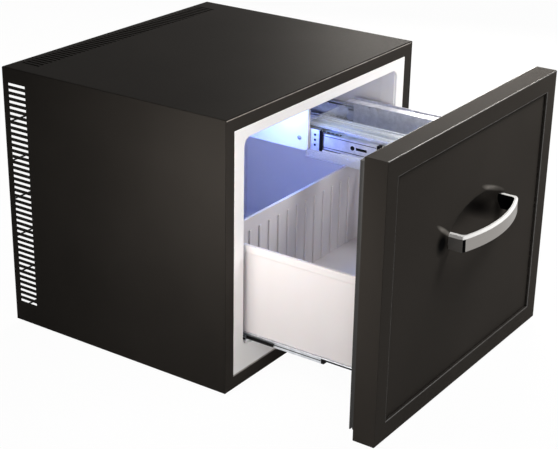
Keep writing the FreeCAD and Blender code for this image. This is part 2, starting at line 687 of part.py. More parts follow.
# each slide: how its section (u through the slide, v across it) lies in x and z
LAYOUT = {
    "upper_left": (lambda u, v: ("hanger_in + (%s)" % u, "up_low + (%s)" % v), "up"),
    "upper_right": (lambda u, v: ("cav_x - (%s)" % u, "up_low + (%s)" % v), "up"),
    "lower_left": (lambda u, v: ("-low_x + (%s)" % v, "low_z + (%s)" % u), "low"),
    "lower_right": (lambda u, v: ("low_x - (%s)" % v, "low_z + (%s)" % u), "low"),
}
LENGTHS = {
    "up": {"fixed": ("up_front", "up_len"), "middle": ("up_front", "up_len"),
           "drawer": ("up_front", "up_len")},
    "low": {"fixed": ("low_front", "low_len"), "middle": ("low_front - low_lead", "low_len + low_lead"),
            "drawer": ("low_front", "low_len")},
}
MEMBERS = {
    "fixed": ("0", "slide_t - 2 * member_step", "0", "slide_h", "away", "FRONT"),
    "middle": ("mid_u", "slide_t - member_step", "mid_v", "slide_h - mid_v", "away", "MIDWAY"),
    "drawer": ("in_u", "slide_t", "in_v", "slide_h - in_v", "towards u0", "DRAWER"),
}


def make_slide(side):
    """One telescopic ball slide: three nested members, ball cages and a plastic bumper."""
    lay, kind = LAYOUT[side]
    for member, (u0, u1, v0, v1, lip, y) in MEMBERS.items():
        start, length = LENGTHS[kind][member]
        body = new_body("%s_%s_member" % (side, member), y)
        section = [lay(u, v) for u, v in channel(u0, u1, v0, v1, lip)]
        pad(body, "y", start, length, [section])
        drill_member(body, side, kind, member, start, length)
    start, length = LENGTHS[kind]["middle"]
    cages = []
    inner = "cage_in + cage_step"
    for index, (v0, v1, u) in enumerate((
            ("gauge", "mid_v", "cage_in"), ("slide_h - mid_v", "slide_h - gauge", "cage_in"),
            ("mid_v + gauge", "in_v", inner), ("slide_h - in_v", "slide_h - mid_v - gauge", inner))):
        spare = "(ball_gap - ball_d) / 2"
        low, high = lay(u, "%s + %s" % (v0, spare)), lay(u + " + cage_w", "%s - %s" % (v1, spare))
        x, z = ordered(low[0], high[0]), ordered(low[1], high[1])
        ahead = "MIDWAY + %s + (%s) / 2 - cage_len / 2" % (start, length)
        cages.append(box("%s_cage_%d" % (side, index), x, (ahead, ahead + " + cage_len"), z))
    node(group("Part::Compound", side + "_ball_cages", cages), side + "_ball_cages")
    u0, u1, web = "mid_u", "slide_t - member_step", "in_u - fit"
    v0, v1, low, high = "mid_v", "slide_h - mid_v", "in_v - fit", "slide_h - in_v + fit"
    outline = [(u0, v0), (u1, v0), (u1, low), (web, low), (web, high), (u1, high), (u1, v1), (u0, v1)]
    bumper = new_body(side + "_bumper", "MIDWAY")
    pad(bumper, "y", start + " - bumper_l", "bumper_l", [[lay(u, v) for u, v in outline]])


def ordered(a, b):
    """Two sums, the smaller first."""
    return (a, b) if value(a) < value(b) else (b, a)


def drill_member(body, side, kind, member, start, length):
    """The holes that a member is fastened or reached through."""
    axis = "x" if kind == "up" else "z"
    if kind == "up":
        across, ahead = (lambda v: "up_low + " + v), (lambda y, v: (y, v))
    else:
        sign = "-low_x + (%s)" if side == "lower_left" else "low_x - (%s)"
        across, ahead = (lambda v: sign % v), (lambda y, v: (v, y))
    if member == "fixed":
        holes = [ahead(start + " + fixed_hole", across(v)) + ("screw_r + hole_gap",)
                 for v in ("slide_h / 2 - hole_step", "slide_h / 2", "slide_h / 2 + hole_step")]
        if side == "upper_left":
            holes += [("hanger_front + " + y, "slide_mid", "screw_r + hole_gap") for y in HANGER_SCREWS]
    elif member == "middle":
        holes = [ahead(start + " + access_y", across("slide_h / 2")) + ("access_r",)]
    else:
        holes = [ahead(y, across("slide_h / 2")) + ("screw_r + hole_gap",)
                 for y in (start + " + drawer_hole", "%s + %s - drawer_hole" % (start, length))]
    first = {"upper_left": "hanger_in", "upper_right": "cav_x - slide_t",
             "lower_left": "low_z", "lower_right": "low_z"}[side]
    pocket(body, axis, first + " - steel", "slide_t + 2 * steel", circles=holes)


# ------------------------------------------------------------------- the door
def make_door_frame():
    """The door's black frame: raised border and side walls."""
    body = new_body("door_frame", "DRAWER")
    pad(body, "y", "-face_y", "door_t", [rectangle("-door_x", "door_x", "door_z0", "door_z1")])
    pocket(body, "y", "-panel_y", "door_t",
           [rectangle("-door_x + skin", "door_x - skin", "door_z0 + skin", "door_z1 - skin")])
    pocket(body, "y", "-face_y - steel", "door_t",
           [rectangle("-door_x + border_w", "door_x - border_w", "door_z0 + border_w", "door_z1 - border_w")])


def lens(name, grow):
    """A lens-shaped solid on a level axis ahead of the panel, larger than the scoop by a wall."""
    body = doc.addObject("PartDesign::Body", name)
    place(body, y="DRAWER", z="scoop_z")
    half, deep, axis = "(scoop_w / 2 + 3 * (%s))" % grow, "(scoop_d + %s)" % grow, "-panel_y - lens_y"
    left, right = "handle_x - " + half, "handle_x + " + half
    arc = "(%s ^ 2 + %s ^ 2) / (2 * %s)" % (half, deep, deep)
    sketch = new_sketch(body, "z", "0", [[
        (left, axis), (right, axis), (right, "-panel_y", arc), (left, "-panel_y")]])
    feature = body.newObject("PartDesign::Revolution", name + "_turn")
    feature.Profile = sketch
    feature.ReferenceAxis = (sketch, ["Edge1"])
    feature.Angle = 360
    return body


def inside_frame():
    """The x and z ranges of what fits inside the door's frame."""
    return (("-(door_x - skin - fit)", "door_x - skin - fit"),
            ("door_z0 + skin + fit", "door_z1 - skin - fit"))


def make_door_panel():
    """The recessed front panel with the scoop pressed into it, and the foam behind."""
    x, z = inside_frame()
    sheet_box = box("panel_sheet", x, ("DRAWER - panel_y", "DRAWER - panel_y + panel_t"), z)
    behind = box("panel_behind", x, ("DRAWER - panel_y", "DRAWER - door_y"), z)
    outer = lens("scoop_outer", "panel_t")
    bulge = doc.addObject("Part::Common", "panel_bulge")
    bulge.Base = outer
    bulge.Tool = behind
    whole = group("Part::MultiFuse", "panel_whole", [sheet_box, bulge])
    inner = lens("scoop_inner", "0")
    bores = [cylinder("panel_bore_%d" % index, "y", "screw_r + hole_gap", "door_t", x,
                      "DRAWER - panel_y - steel", z) for index, (x, z) in enumerate(HANDLE_ENDS)]
    node(cut("door_panel", whole, [inner] + bores), "door_panel")
    block = box("core_block", x, ("DRAWER - panel_y + panel_t", "DRAWER - door_y - back_t"), z)
    tools = [lens("scoop_room", "panel_t + fit")]
    for index, (x_end, z_end) in enumerate(HANDLE_ENDS):
        tools.append(cylinder("core_bore_%d" % index, "y", "head_r + driver_gap", "scoop_d", x_end,
                              "DRAWER - panel_y", z_end))
    for side, (low, high) in enumerate(pocket_spans("back_t + fit")):
        tools.append(box("core_pocket_%d" % side, (low, high),
                         ("DRAWER - door_y - pocket_d - back_t - fit", "DRAWER - door_y + steel"),
                         pocket_heights("back_t + fit")))
    node(cut("door_core", block, tools), "door_core")


# the x and z of the handle's two screws
HANDLE_ENDS = (("handle_x - handle_run", "grip_z - handle_rise"),
               ("handle_x + handle_run", "grip_z + handle_rise"))


def pocket_spans(wall):
    """The x range of each rail pocket in the door's back, with a wall around it."""
    outer, inner = "low_x + pocket_gap + " + wall, "low_x - slide_h - pocket_gap - (%s)" % wall
    return [("-(%s)" % outer, "-(%s)" % inner), (inner, outer)]


def pocket_heights(wall):
    """The z range of the rail pockets, with a wall around them."""
    return ("low_z - pocket_gap - (%s)" % wall, "rail_top + pocket_gap + " + wall)


def make_door_back():
    """The white inner panel with two rail pockets, and the seal around its edge."""
    body = new_body("door_back_panel", "DRAWER")
    x, z = inside_frame()
    pad(body, "y", "-door_y - back_t", "back_t", [rectangle(*x, *z)])
    for low, high in pocket_spans("back_t"):
        pad(body, "y", "-door_y - pocket_d - back_t", "pocket_d + back_t",
            [rectangle(low, high, *pocket_heights("back_t"))])
    for low, high in pocket_spans("0"):
        pocket(body, "y", "-door_y - pocket_d", "pocket_d + steel",
               [rectangle(low, high, *pocket_heights("0"))])
    seal = new_body("door_gasket", "DRAWER")
    edge_x, low, high = "door_x - seal_inset", "door_z0 + seal_inset", "door_z1 - seal_inset"
    pad(seal, "y", "-door_y", "seal_t",
        [rectangle("-(%s)" % edge_x, edge_x, low, high),
         rectangle("-(%s) + seal_w" % edge_x, edge_x + " - seal_w", low + " + seal_w", high + " - seal_w")])


def make_handle():
    """The bowed metal band on two legs that stand in the scoop, and its screws."""
    body = doc.addObject("PartDesign::Body", "handle_blank")
    body.Placement = FreeCAD.Placement(FreeCAD.Vector(), FreeCAD.Rotation(FreeCAD.Vector(0, -1, 0), 1))
    place(body, x="handle_x", y="DRAWER", z="grip_z")
    bind(body, Placement__Rotation__Angle="asin(handle_rise / handle_arm)")
    half = "handle_w / 2"
    root, knee = "-panel_y + leg_sink", "-panel_y - handle_leg"
    inner = knee + " + handle_t / 2"
    leg = half + " - 2 * handle_t"
    outline = [("-" + half, root), ("-" + half, knee, "bow_r"), (half, knee), (half, root),
               (leg, root), (leg, inner, "-(bow_r - handle_t)"), ("-(%s)" % leg, inner),
               ("-(%s)" % leg, root)]
    pad(body, "z", "-handle_h / 2", "handle_h", [outline])
    round_edges(body, "2 * handle_t", lambda e: runs(e, "z") and near(e.CenterOfMass.y, inner))
    holes = [(x, "0", "screw_r + hole_gap") for x in ("-handle_arm", "handle_arm")]
    pocket(body, "y", "-panel_y - screw_grip - fit", "screw_grip + 2 * leg_sink", circles=holes)
    rear = box("handle_rear", ("handle_x - scoop_w / 2", "handle_x + scoop_w / 2"),
               ("DRAWER - panel_y", "DRAWER - door_y"), ("grip_z - handle_h", "grip_z + handle_h"))
    node(cut("handle_bow", body, [cut("handle_trim", rear, [lens("scoop_mould", "0")])]), "handle_bow")
    screws = []
    for index, (x, z) in enumerate(HANDLE_ENDS):
        head_y = "DRAWER - panel_y + panel_t + screw_sink"
        shank = cylinder("handle_shank_%d" % index, "y", "screw_r", "screw_grip + panel_t + screw_sink", x,
                         "DRAWER - panel_y - screw_grip", z)
        head = cylinder("handle_head_%d" % index, "y", "head_r", "head_h", x, head_y, z)
        screws.append(group("Part::MultiFuse", "handle_screw_%d" % index, [shank, head]))
    node(group("Part::Compound", "handle_screws", screws), "handle_screws")


# ------------------------------------------------------------ bin, tray, brackets
def make_bin():
    """The white bottle bin with its thick rim."""
    body = new_body("bottle_bin", "DRAWER")
    wall_x, back = "bin_x - bin_rim", "bin_back - bin_rim"
    front = "-bin_front + bin_rim"
    pad(body, "z", "bin_z0", "bin_h", [rounded("-(%s)" % wall_x, wall_x, front, back, "bin_r")])
    rim = "bin_z0 + bin_h - bin_rim_h"
    pad(body, "z", rim, "bin_rim_h",
        [rounded("-bin_x", "bin_x", "-bin_front", "bin_back", "bin_r + bin_rim")])
    pocket(body, "z", "bin_z0 + bin_wall", "bin_h",
           [rounded("-(%s) + bin_wall" % wall_x, wall_x + " - bin_wall", front + " + bin_wall",
                    back + " - bin_wall", "bin_r - bin_wall")])


def make_lower_brackets():
    """Steel strips that carry the bin on the lower slides and bolt to the door."""
    for side, sign in (("left", -1), ("right", 1)):
        body = new_body("bin_bracket_" + side, "DRAWER")
        low, high = ("-low_x", "-low_x + slide_h") if sign < 0 else ("low_x - slide_h", "low_x")
        pad(body, "z", "rail_top", "plate", [rectangle(low, high, "-door_y", "low_front + low_len")])
        pad(body, "z", "rail_top", "leg_h", [rectangle(low, high, "-door_y", "-door_y + plate")])
        middle = "%s + slide_h / 2" % low
        pocket(body, "y", "-door_y - steel", "plate + 2 * steel",
               circles=[(middle, "rail_top + " + z, "screw_r + hole_gap") for z in LEG_SCREWS])


LEG_SCREWS = ("leg_screw", "2 * leg_screw")


def make_upper_brackets():
    """The steel strips of the upper slides, with a tab that bolts to the door."""
    for side, face, back, top, tab in (
            ("left", "left_plate", "tray_back", "tray_top - tray_wall", 1),
            ("right", "right_plate - plate", "right_back", "up_low + slide_h + right_up", -1)):
        body = new_body("tray_bracket_" + side, "DRAWER")
        pad(body, "z", "up_low", "%s - up_low" % top,
            [rectangle(face, face + " + plate", "-door_y", back)])
        near_edge = face + " + plate" if tab > 0 else face + " - tab_w"
        far_edge = face + " + plate + tab_w" if tab > 0 else face
        pad(body, "z", "up_low", "slide_h", [rectangle(near_edge, far_edge, "-door_y", "-door_y + plate")])
        pocket(body, "y", "-door_y - steel", "plate + 2 * steel",
               circles=[(near_edge + " + tab_w / 2", "slide_mid", "screw_r + hole_gap")])
        if side == "right":
            pocket(body, "x", face + " - steel", "plate + 2 * steel",
                   circles=[("right_back - small_back", "right_holes", "small_hole"),
                            ("right_back - large_back", "right_holes", "large_hole")])


def make_bracket_screws():
    """The screws that hold all four brackets to the door."""
    places = []
    for low in ("-low_x", "low_x - slide_h"):
        places += [("%s + slide_h / 2" % low, "rail_top + " + z) for z in LEG_SCREWS]
    places.append(("left_plate + plate + tab_w / 2", "slide_mid"))
    places.append(("right_plate - plate - tab_w / 2", "slide_mid"))
    screws = []
    for index, (x, z) in enumerate(places):
        head = cylinder("bracket_head_%d" % index, "y", "head_r", "head_h", x, "DRAWER - door_y + plate", z)
        shank = cylinder("bracket_shank_%d" % index, "y", "screw_r", "plate", x, "DRAWER - door_y", z)
        screws.append(group("Part::MultiFuse", "bracket_screw_%d" % index, [head, shank]))
    node(group("Part::Compound", "bracket_screws", screws), "bracket_screws")


def make_tray():
    """The clear top tray with a long divider and a rim that lies on the left bracket."""
    body = new_body("clear_tray", "DRAWER")
    front, back = "-door_y + plate + head_h + fit", "tray_back"
    pad(body, "z", "tray_low", "tray_h", [rectangle("tray_x0", "tray_x1", front, back)])
    divider = "tray_x0 + divider_x"
    floor_z = "tray_low + tray_wall"
    inner_y = (front + " + tray_wall", back + " - tray_wall")
    pocket(body, "z", floor_z, "tray_h", [rectangle("tray_x0 + tray_wall", divider, *inner_y)])
    pocket(body, "z", floor_z, "tray_h",
           [rectangle(divider + " + tray_wall", "tray_x1 - tray_wall", *inner_y)])
    pad(body, "z", "tray_top - tray_wall", "tray_wall",
        [rectangle("tray_x0 - tray_rim", "tray_x0 + tray_wall", front, back)])


# ------------------------------------------------------------ the cooling unit
def make_evaporator():
    """Cold fins high on the cavity's back wall, and the pipe that leads out to the unit."""
    body = new_body("evaporator_fins")
    pad(body, "z", "evap_z0", "evap_h",
        [rectangle("evap_x0", "evap_x1", "cavity_d - evap_plate", "cavity_d")])
    fin = pad(body, "z", "evap_z0", "evap_h",
              [rectangle("evap_x0", "evap_x0 + fin_t", "cavity_d - evap_d", "cavity_d - evap_plate / 2")])
    repeat(body, fin, "X_Axis", "floor(evap_w / fin_pitch) + 1", "fin_pitch")
    node(cylinder("evaporator_pipe", "y", "pipe_r", "unit_y - cavity_d", "stub_x", "FRONT + cavity_d",
                  "stub_z"), "evaporator_pipe")


def make_boiler():
    """The boiler tube, the jacket around it, and the condenser with its fins and its outlet pipe."""
    y = "FRONT + unit_y"
    node(cylinder("boiler_tube", "z", "boiler_r", "cond_z - pipe_r - fit - in_low - boiler_lift",
                  "boiler_x", y, "in_low + boiler_lift"), "boiler_tube")
    half_w, half_d = "jacket_w / 2", "jacket_d / 2"
    low, high = "in_low + jacket_low", "in_low + jacket_low + jacket_h"
    shell = box("jacket_shell", ("boiler_x - " + half_w, "boiler_x + " + half_w),
                (y + " - " + half_d, y + " + " + half_d), (low, high))
    room = box("jacket_room", ("boiler_x - %s + steel" % half_w, "boiler_x + %s - steel" % half_w),
               (y + " - %s + steel" % half_d, y + " + %s - steel" % half_d),
               (low + " + steel", high + " - steel"))
    bore = cylinder("jacket_bore", "z", "boiler_r + hole_gap", "jacket_h + 2 * steel", "boiler_x", y,
                    low + " - steel")
    node(cut("boiler_jacket", shell, [room, bore]), "boiler_jacket")
    tube = cylinder("condenser_run", "x", "pipe_r", "cond_l", "cond_x", y, "cond_z")
    outlet = "cond_x + pipe_r"
    drop = cylinder("condenser_drop", "z", "coil_r", "cond_z - stub_z + coil_r", outlet, y, "stub_z - coil_r")
    feed = cylinder("condenser_feed", "x", "branch_r", "stub_x - pipe_r - (%s)" % outlet, outlet, y, "stub_z")
    node(group("Part::MultiFuse", "condenser_tube", [tube, drop, feed]), "condenser_tube")
    fins = []
    for index in range(int(value("(cond_l - 3 * pipe_r - 4 * boiler_r) / cond_pitch"))):
        x = "cond_x + 3 * pipe_r + %d * cond_pitch" % index
        fins.append(box("condenser_fin_%d" % index, (x, x + " + fin_t"),
                        (y + " - cond_fin / 2", y + " + cond_fin / 2"),
                        ("cond_z - cond_fin / 2", "cond_z + cond_fin / 2")))
    bore = cylinder("condenser_bore", "x", "pipe_r + hole_gap", "cond_l", "cond_x", y, "cond_z")
    node(cut("condenser_fins", group("Part::Compound", "condenser_stack", fins), [bore]), "condenser_fins")


def make_vessel():
    """The absorber vessel with the pipe to the boiler, on two saddles, and the jacket's stay."""
    y = "FRONT + unit_y"
    drum = cylinder("vessel_drum", "x", "vessel_r", "vessel_l", "vessel_x", y, "vessel_z")
    feed = cylinder("vessel_feed", "x", "coil_r", "boiler_x - boiler_r - vessel_x", "vessel_x", y, "vessel_z")
    node(group("Part::MultiFuse", "absorber_vessel", [drum, feed]), "absorber_vessel")
    seats = []
    for index, x in enumerate(("vessel_x + vessel_l / 6", "vessel_x + 5 * vessel_l / 6")):
        seats.append(box("saddle_%d" % index, (x, x + " + 2 * steel"), (y + " - vessel_r", y + " + vessel_r"),
                         ("in_low", "vessel_z")))
    room = cylinder("saddle_room", "x", "vessel_r + hole_gap", "vessel_l", "vessel_x", y, "vessel_z")
    stay = box("jacket_stay", ("boiler_x - jacket_w / 4", "boiler_x + jacket_w / 4"),
               ("FRONT + bay", y + " - jacket_d / 2"),
               ("in_low + jacket_low + stay_in", "in_low + jacket_low + jacket_h - stay_in"))
    node(cut("unit_stays", group("Part::Compound", "unit_stay_blanks", seats + [stay]), [room]), "unit_stays")


def make_coil():
    """The absorber's pipe, bent to and fro above the vessel, with an upright at each end."""
    body = doc.addObject("PartDesign::Body", "coil_bends")
    place(body, y="FRONT")
    path = body.newObject("Sketcher::SketchObject", "coil_path")
    plane = next(p for p in body.Origin.OriginFeatures if p.Role == "XZ_Plane")
    path.AttachmentSupport = [(plane, "")]
    path.MapMode = "FlatFace"
    path.setExpression("AttachmentOffset.Base.z", formula("-unit_y"))
    previous = None
    for index in range(COIL_RUNS):
        level = "coil_low + %d * coil_pitch" % index
        ends = ("coil_left", "coil_right") if index % 2 == 0 else ("coil_right", "coil_left")
        start, end = [FreeCAD.Vector(value(x), value(level), 0) for x in ends]
        side = path.addGeometry(Part.LineSegment(start, end))
        pin(path, side, 1, ends[0], level)
        pin(path, side, 2, ends[1], level)
        if previous is not None:
            below = FreeCAD.Vector(start.x, value(level + " - coil_pitch"), 0)
            centre = (start + below) * 0.5
            crown = centre + (start - end).normalize() * value("coil_pitch / 2")
            turn = path.addGeometry(Part.Arc(below, crown, start))
            lower, upper = (1, 2) if index % 2 else (2, 1)
            path.addConstraint(Sketcher.Constraint("Coincident", previous, 2, turn, lower))
            path.addConstraint(Sketcher.Constraint("Coincident", side, 1, turn, upper))
            tie(path, Sketcher.Constraint("DistanceX", -1, 1, turn, 3, value(ends[0])), ends[0])
        previous = side
    section = new_sketch(body, "x", "coil_left", circles=[("unit_y", "coil_low", "coil_r")])
    pipe = body.newObject("PartDesign::AdditivePipe", "coil_pipe")
    pipe.Profile = section
    pipe.Spine = path
    top = "coil_low + %d * coil_pitch" % (COIL_RUNS - 1)
    y = "FRONT + unit_y"
    riser = cylinder("coil_riser", "z", "branch_r", "stub_z - pipe_r - (%s)" % top, "stub_x", y, top)
    foot = cylinder("coil_foot", "z", "branch_r", "coil_low - vessel_z - vessel_r", "coil_left + 2 * coil_r",
                    y, "vessel_z + vessel_r")
    node(group("Part::MultiFuse", "absorber_coil", [body, riser, foot]), "absorber_coil")


COIL_RUNS = 5


def make_controls():
    """The control box low in the bay, with the power inlet in its back."""
    x, z = ("box_x", "box_x + box_w"), ("box_z", "box_z + box_h")
    y = ("FRONT + bay", "FRONT + bay + box_d")
    shell = box("control_shell", x, y, z)
    room = box("control_room", (x[0] + " + steel", x[1] + " - steel"),
               (y[0] + " + steel", y[1] + " - steel"), (z[0] + " + steel", z[1] + " - steel"))
    body_x = ("inlet_x - inlet_w / 2", "inlet_x + inlet_w / 2")
    body_y = (y[1] + " - inlet_d", y[1])
    body_z = ("inlet_z - inlet_h / 2", "inlet_z + inlet_h / 2")
    hole = box("control_hole", body_x, body_y, body_z)
    node(cut("control_box", shell, [room, hole]), "control_box")
    block = box("inlet_block", body_x, body_y, body_z)
    socket = box("inlet_socket", (body_x[0] + " + inlet_wall", body_x[1] + " - inlet_wall"),
                 (body_y[0] + " + inlet_wall", body_y[1]),
                 (body_z[0] + " + inlet_wall", body_z[1] + " - inlet_wall"))
    pins = [box("inlet_pin_%d" % index, (x + " - pin_h / 2", x + " + pin_h / 2"),
                (body_y[0] + " + inlet_wall / 2", body_y[1] + " - 2 * inlet_wall"), (z, z + " + pin_w"))
            for index, (x, z) in enumerate((("inlet_x - pin_step", "inlet_z + pin_up"),
                                            ("inlet_x", "inlet_z - pin_down"),
                                            ("inlet_x + pin_step", "inlet_z + pin_up")))]
    hollow = cut("inlet_shell", block, [socket])
    node(group("Part::MultiFuse", "power_inlet", [hollow] + pins), "power_inlet")


def build():
    """Make every sub-part."""
    make_wrap()
    make_base()
    make_front_frame()
    make_liner()
    make_insulation()
    make_guard()
    make_hanger()
    make_lamp()
    for side in LAYOUT:
        make_slide(side)
    make_door_frame()
    make_door_panel()
    make_door_back()
    make_handle()
    make_bin()
    make_lower_brackets()
    make_upper_brackets()
    make_bracket_screws()
    make_tray()
    make_evaporator()
    make_boiler()
    make_vessel()
    make_coil()
    make_controls()


def check():
    """Stop if any object failed or any sub-part is empty or not valid."""
    bad = [obj.Label for obj in doc.Objects if {"Invalid", "Error"} & set(obj.State)]
    for name, obj in parts.items():
        if obj.Shape.isNull() or not obj.Shape.isValid() or not obj.Shape.Solids:
            bad.append(name)
    if bad:
        raise RuntimeError("failed: " + ", ".join(bad))


build()
doc.recompute()
check()
os.makedirs("parts", exist_ok=True)
for name, obj in parts.items():
    obj.Shape.exportStep("parts/%s.step" % name)
    bounds = obj.Shape.BoundBox
    print("%-30s %2d solid(s) %12.1f mm3  x %7.1f %7.1f  y %7.1f %7.1f  z %7.1f %7.1f" % (
        name, len(obj.Shape.Solids), obj.Shape.Volume, bounds.XMin, bounds.XMax, bounds.YMin, bounds.YMax,
        bounds.ZMin, bounds.ZMax))
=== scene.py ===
"""A drawer-type hotel minibar cabinet, dressed for the camera: one operator for each group of its pieces."""
import json
import math

import bmesh
import bpy
from bpy.props import FloatProperty, FloatVectorProperty, PointerProperty
from mathutils import Matrix, Vector


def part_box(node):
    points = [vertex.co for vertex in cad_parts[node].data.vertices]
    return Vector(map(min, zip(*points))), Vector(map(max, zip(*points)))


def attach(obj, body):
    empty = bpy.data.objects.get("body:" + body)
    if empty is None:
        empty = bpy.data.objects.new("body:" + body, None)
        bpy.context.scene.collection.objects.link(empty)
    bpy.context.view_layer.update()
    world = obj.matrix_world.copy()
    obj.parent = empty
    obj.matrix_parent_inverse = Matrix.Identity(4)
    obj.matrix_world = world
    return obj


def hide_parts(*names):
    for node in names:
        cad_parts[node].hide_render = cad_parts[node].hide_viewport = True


bl_info = {
    "name": "Minibar Cabinet",
    "version": (1, 0, 0),
    "blender": (4, 5, 0),
    "location": "3D View > Sidebar > Minibar",
    "description": "Dresses an insulated drawer cabinet: case, cavity, door, bin, tray and slides",
    "category": "Object",
}

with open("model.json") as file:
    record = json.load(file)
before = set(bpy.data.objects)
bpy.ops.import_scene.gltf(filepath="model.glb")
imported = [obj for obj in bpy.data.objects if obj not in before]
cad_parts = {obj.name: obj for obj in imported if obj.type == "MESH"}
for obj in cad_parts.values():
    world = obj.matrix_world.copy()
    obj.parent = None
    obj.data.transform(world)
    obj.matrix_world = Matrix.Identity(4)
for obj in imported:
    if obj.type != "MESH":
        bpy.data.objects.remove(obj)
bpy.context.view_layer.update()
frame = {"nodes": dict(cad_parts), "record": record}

MM = 0.001
WELD = 0.00001  # corners of a CAD surface that lie closer than this are one corner
BODY = {node: body for body, nodes in frame["record"]["behaviour"]["bodies"].items() for node in nodes}
SIDES = ("upper_left", "upper_right", "lower_left", "lower_right")
SLANTED = 0.25  # a face whose normal has more than this of an axis counts as turned that way
CAVITY_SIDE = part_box("upper_right_fixed_member")[1].x  # the cavity's right wall, which carries this slide
PANEL_THICK = 2 * MM
SCOOP_LIFT = 1.5 * MM  # the middle of the hand recess lies a little above the handle's
SCOOP_TILT = 0.045  # and it leans with the handle, whose right end is the higher one
# painted highlights on the panel beside the handle's roots, painted shade in the recess's upper right and a
# painted shadow left of the left leg:
# middle from the handle's, lean in degrees, half length, half width and colour
PAINTED_SPOTS = (((-0.102, 0.016), 34.0, 0.032, 0.0045, "#78746f"), ((0.047, 0.036), 21.0, 0.044, 0.0055, "#78746f"),
        ((0.031, 0.0075), 21.0, 0.062, 0.020, "#050505"), ((-0.108, -0.0015), 0.0, 0.020, 0.022, "#080808"))
PAINTED_SPOT_DEPTH = 40 * MM  # half a painted spot's depth, more than the recess has
SEAL_CUTS, SEAL_FOLDS = (0.25, 0.4, 0.55, 0.7, 0.85), (0.4, 0.7)  # at these shares of the seal's depth
SHANK, HEAD, HEAD_RISE = 2 * MM, 3.8 * MM, 2 * MM  # radii of a screw's shank and head, and its height
PLATE, PLATE_LIFT = 0.3 * MM, 0.1 * MM  # a mark on a slide's web is this thick, and its middle this far out
SEEN_LIGHT, FILL_LIGHT = 1.0, 0.22  # the world where it is seen or mirrored, and elsewhere
FLOOR_GLOW = 0.97  # the share of the floor that is plain white where it is seen
# name, place, aim, width, power in watts and colour
LAMPS = (("soft_box", (0.40, -0.62, 0.92), (0.05, -0.3, 0.30), 0.3, 7.0, (1.0, 0.99, 0.97)),
         ("front_fill", (-2.0, -1.5, 0.6), (0, -0.25, 0.2), 1.0, 6.8, (1.0, 0.98, 0.96)),
         ("side_glow", (-0.48, -0.08, 0.37), (-0.25, -0.03, 0.28), 0.2, 1.6, (1.0, 0.96, 0.91)),
         ("back_sheen", (1.72, 0.60, 0.87), (0.2, 0.0, 0.43), 0.7, 38.0, (1.0, 0.94, 0.87)))


# ------------------------------------------------------------------ meshes
def centre_of(node):
    """The middle of a CAD node's box."""
    low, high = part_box(node)
    return (low + high) / 2


def copy_of(node):
    """A CAD node's surface as a bmesh, with its corners merged and its flat faces joined."""
    bm = bmesh.new()
    bm.from_mesh(frame["nodes"][node].data)
    bmesh.ops.remove_doubles(bm, verts=bm.verts, dist=WELD)
    bmesh.ops.dissolve_limit(bm, angle_limit=math.radians(0.5), verts=bm.verts, edges=bm.edges)
    return bm


def sharp(bm, pick=lambda edge: True, least=30.0):
    """The edges where two faces meet at an angle, if a test picks them."""
    return [edge for edge in bm.edges
            if edge.is_manifold and edge.calc_face_angle() > math.radians(least) and pick(edge)]


def ease(bm, edges, width, segments=2):
    """Round some edges."""
    bmesh.ops.bevel(bm, geom=edges, offset=width, offset_type="OFFSET", affect="EDGES", segments=segments,
                    profile=0.5, material=-1, clamp_overlap=True)


def longer(length):
    """A test for edges longer than a length."""
    return lambda edge: edge.calc_length() > length


def block(bm, low, high, width=0.0, segments=2, material=0):
    """A block between two corners, with its edges rounded and a material of its own."""
    low, high = Vector(low), Vector(high)
    made = bmesh.ops.create_cube(bm, size=1.0)["verts"]
    bmesh.ops.scale(bm, vec=high - low, verts=made)
    bmesh.ops.translate(bm, vec=(high + low) / 2, verts=made)
    paint(made, material)
    if width:
        ease(bm, list(dict.fromkeys(edge for vert in made for edge in vert.link_edges)), width, segments)


def paint(verts, material):
    """Give the faces round some corners a material."""
    for face in {face for vert in verts for face in vert.link_faces}:
        face.material_index = material


def rod(bm, radius, length, matrix):
    """A round rod along Z, put in its place."""
    return bmesh.ops.create_cone(bm, cap_ends=True, segments=16, radius1=radius, radius2=radius, depth=length,
                                 matrix=matrix)["verts"]


def screw_head(bm, matrix):
    """A pan head with a cross recess: a dome on the origin towards +Z, put in its place."""
    made = bmesh.ops.create_uvsphere(bm, u_segments=16, v_segments=10, radius=HEAD)["verts"]
    below = [vert for vert in made if vert.co.z < -WELD]
    kept = [vert for vert in made if vert.co.z >= -WELD]
    bmesh.ops.delete(bm, geom=below, context="VERTS")
    arms = []
    for face in dict.fromkeys(face for vert in kept for face in vert.link_faces):
        middle = face.calc_center_median()
        turn = math.degrees(math.atan2(middle.y, middle.x)) % 90
        if middle.xy.length < HEAD * 0.62 and min(turn, 90 - turn) < 12:
            arms.append(face)
    rest = bmesh.ops.extrude_face_region(bm, geom=arms)["geom"]
    moved = [part for part in rest if isinstance(part, bmesh.types.BMVert)]
    bmesh.ops.delete(bm, geom=arms, context="FACES")
    bmesh.ops.translate(bm, vec=(0, 0, -HEAD * 0.45), verts=moved)
    whole = [vert for vert in kept + moved if vert.is_valid]
    bmesh.ops.transform(bm, matrix=matrix @ Matrix.Diagonal((1, 1, HEAD_RISE / HEAD, 1)), verts=whole)


def screws(node, name, out, steel):
    """Screws in the room of a CAD node's solids, each with its head at the end towards out."""
    bm = bmesh.new()
    out = Vector(out)
    turn = Vector((0, 0, 1)).rotation_difference(out).to_matrix().to_4x4()
    for low, high in islands(copy_of(node)):
        middle, half = (low + high) / 2, abs((high - low).dot(out)) / 2
        rod(bm, SHANK, 2 * half - HEAD_RISE, Matrix.Translation(middle - out * HEAD_RISE / 2) @ turn)
        screw_head(bm, Matrix.Translation(middle + out * (half - HEAD_RISE)) @ turn)
    finish(bm, name, [steel], node)


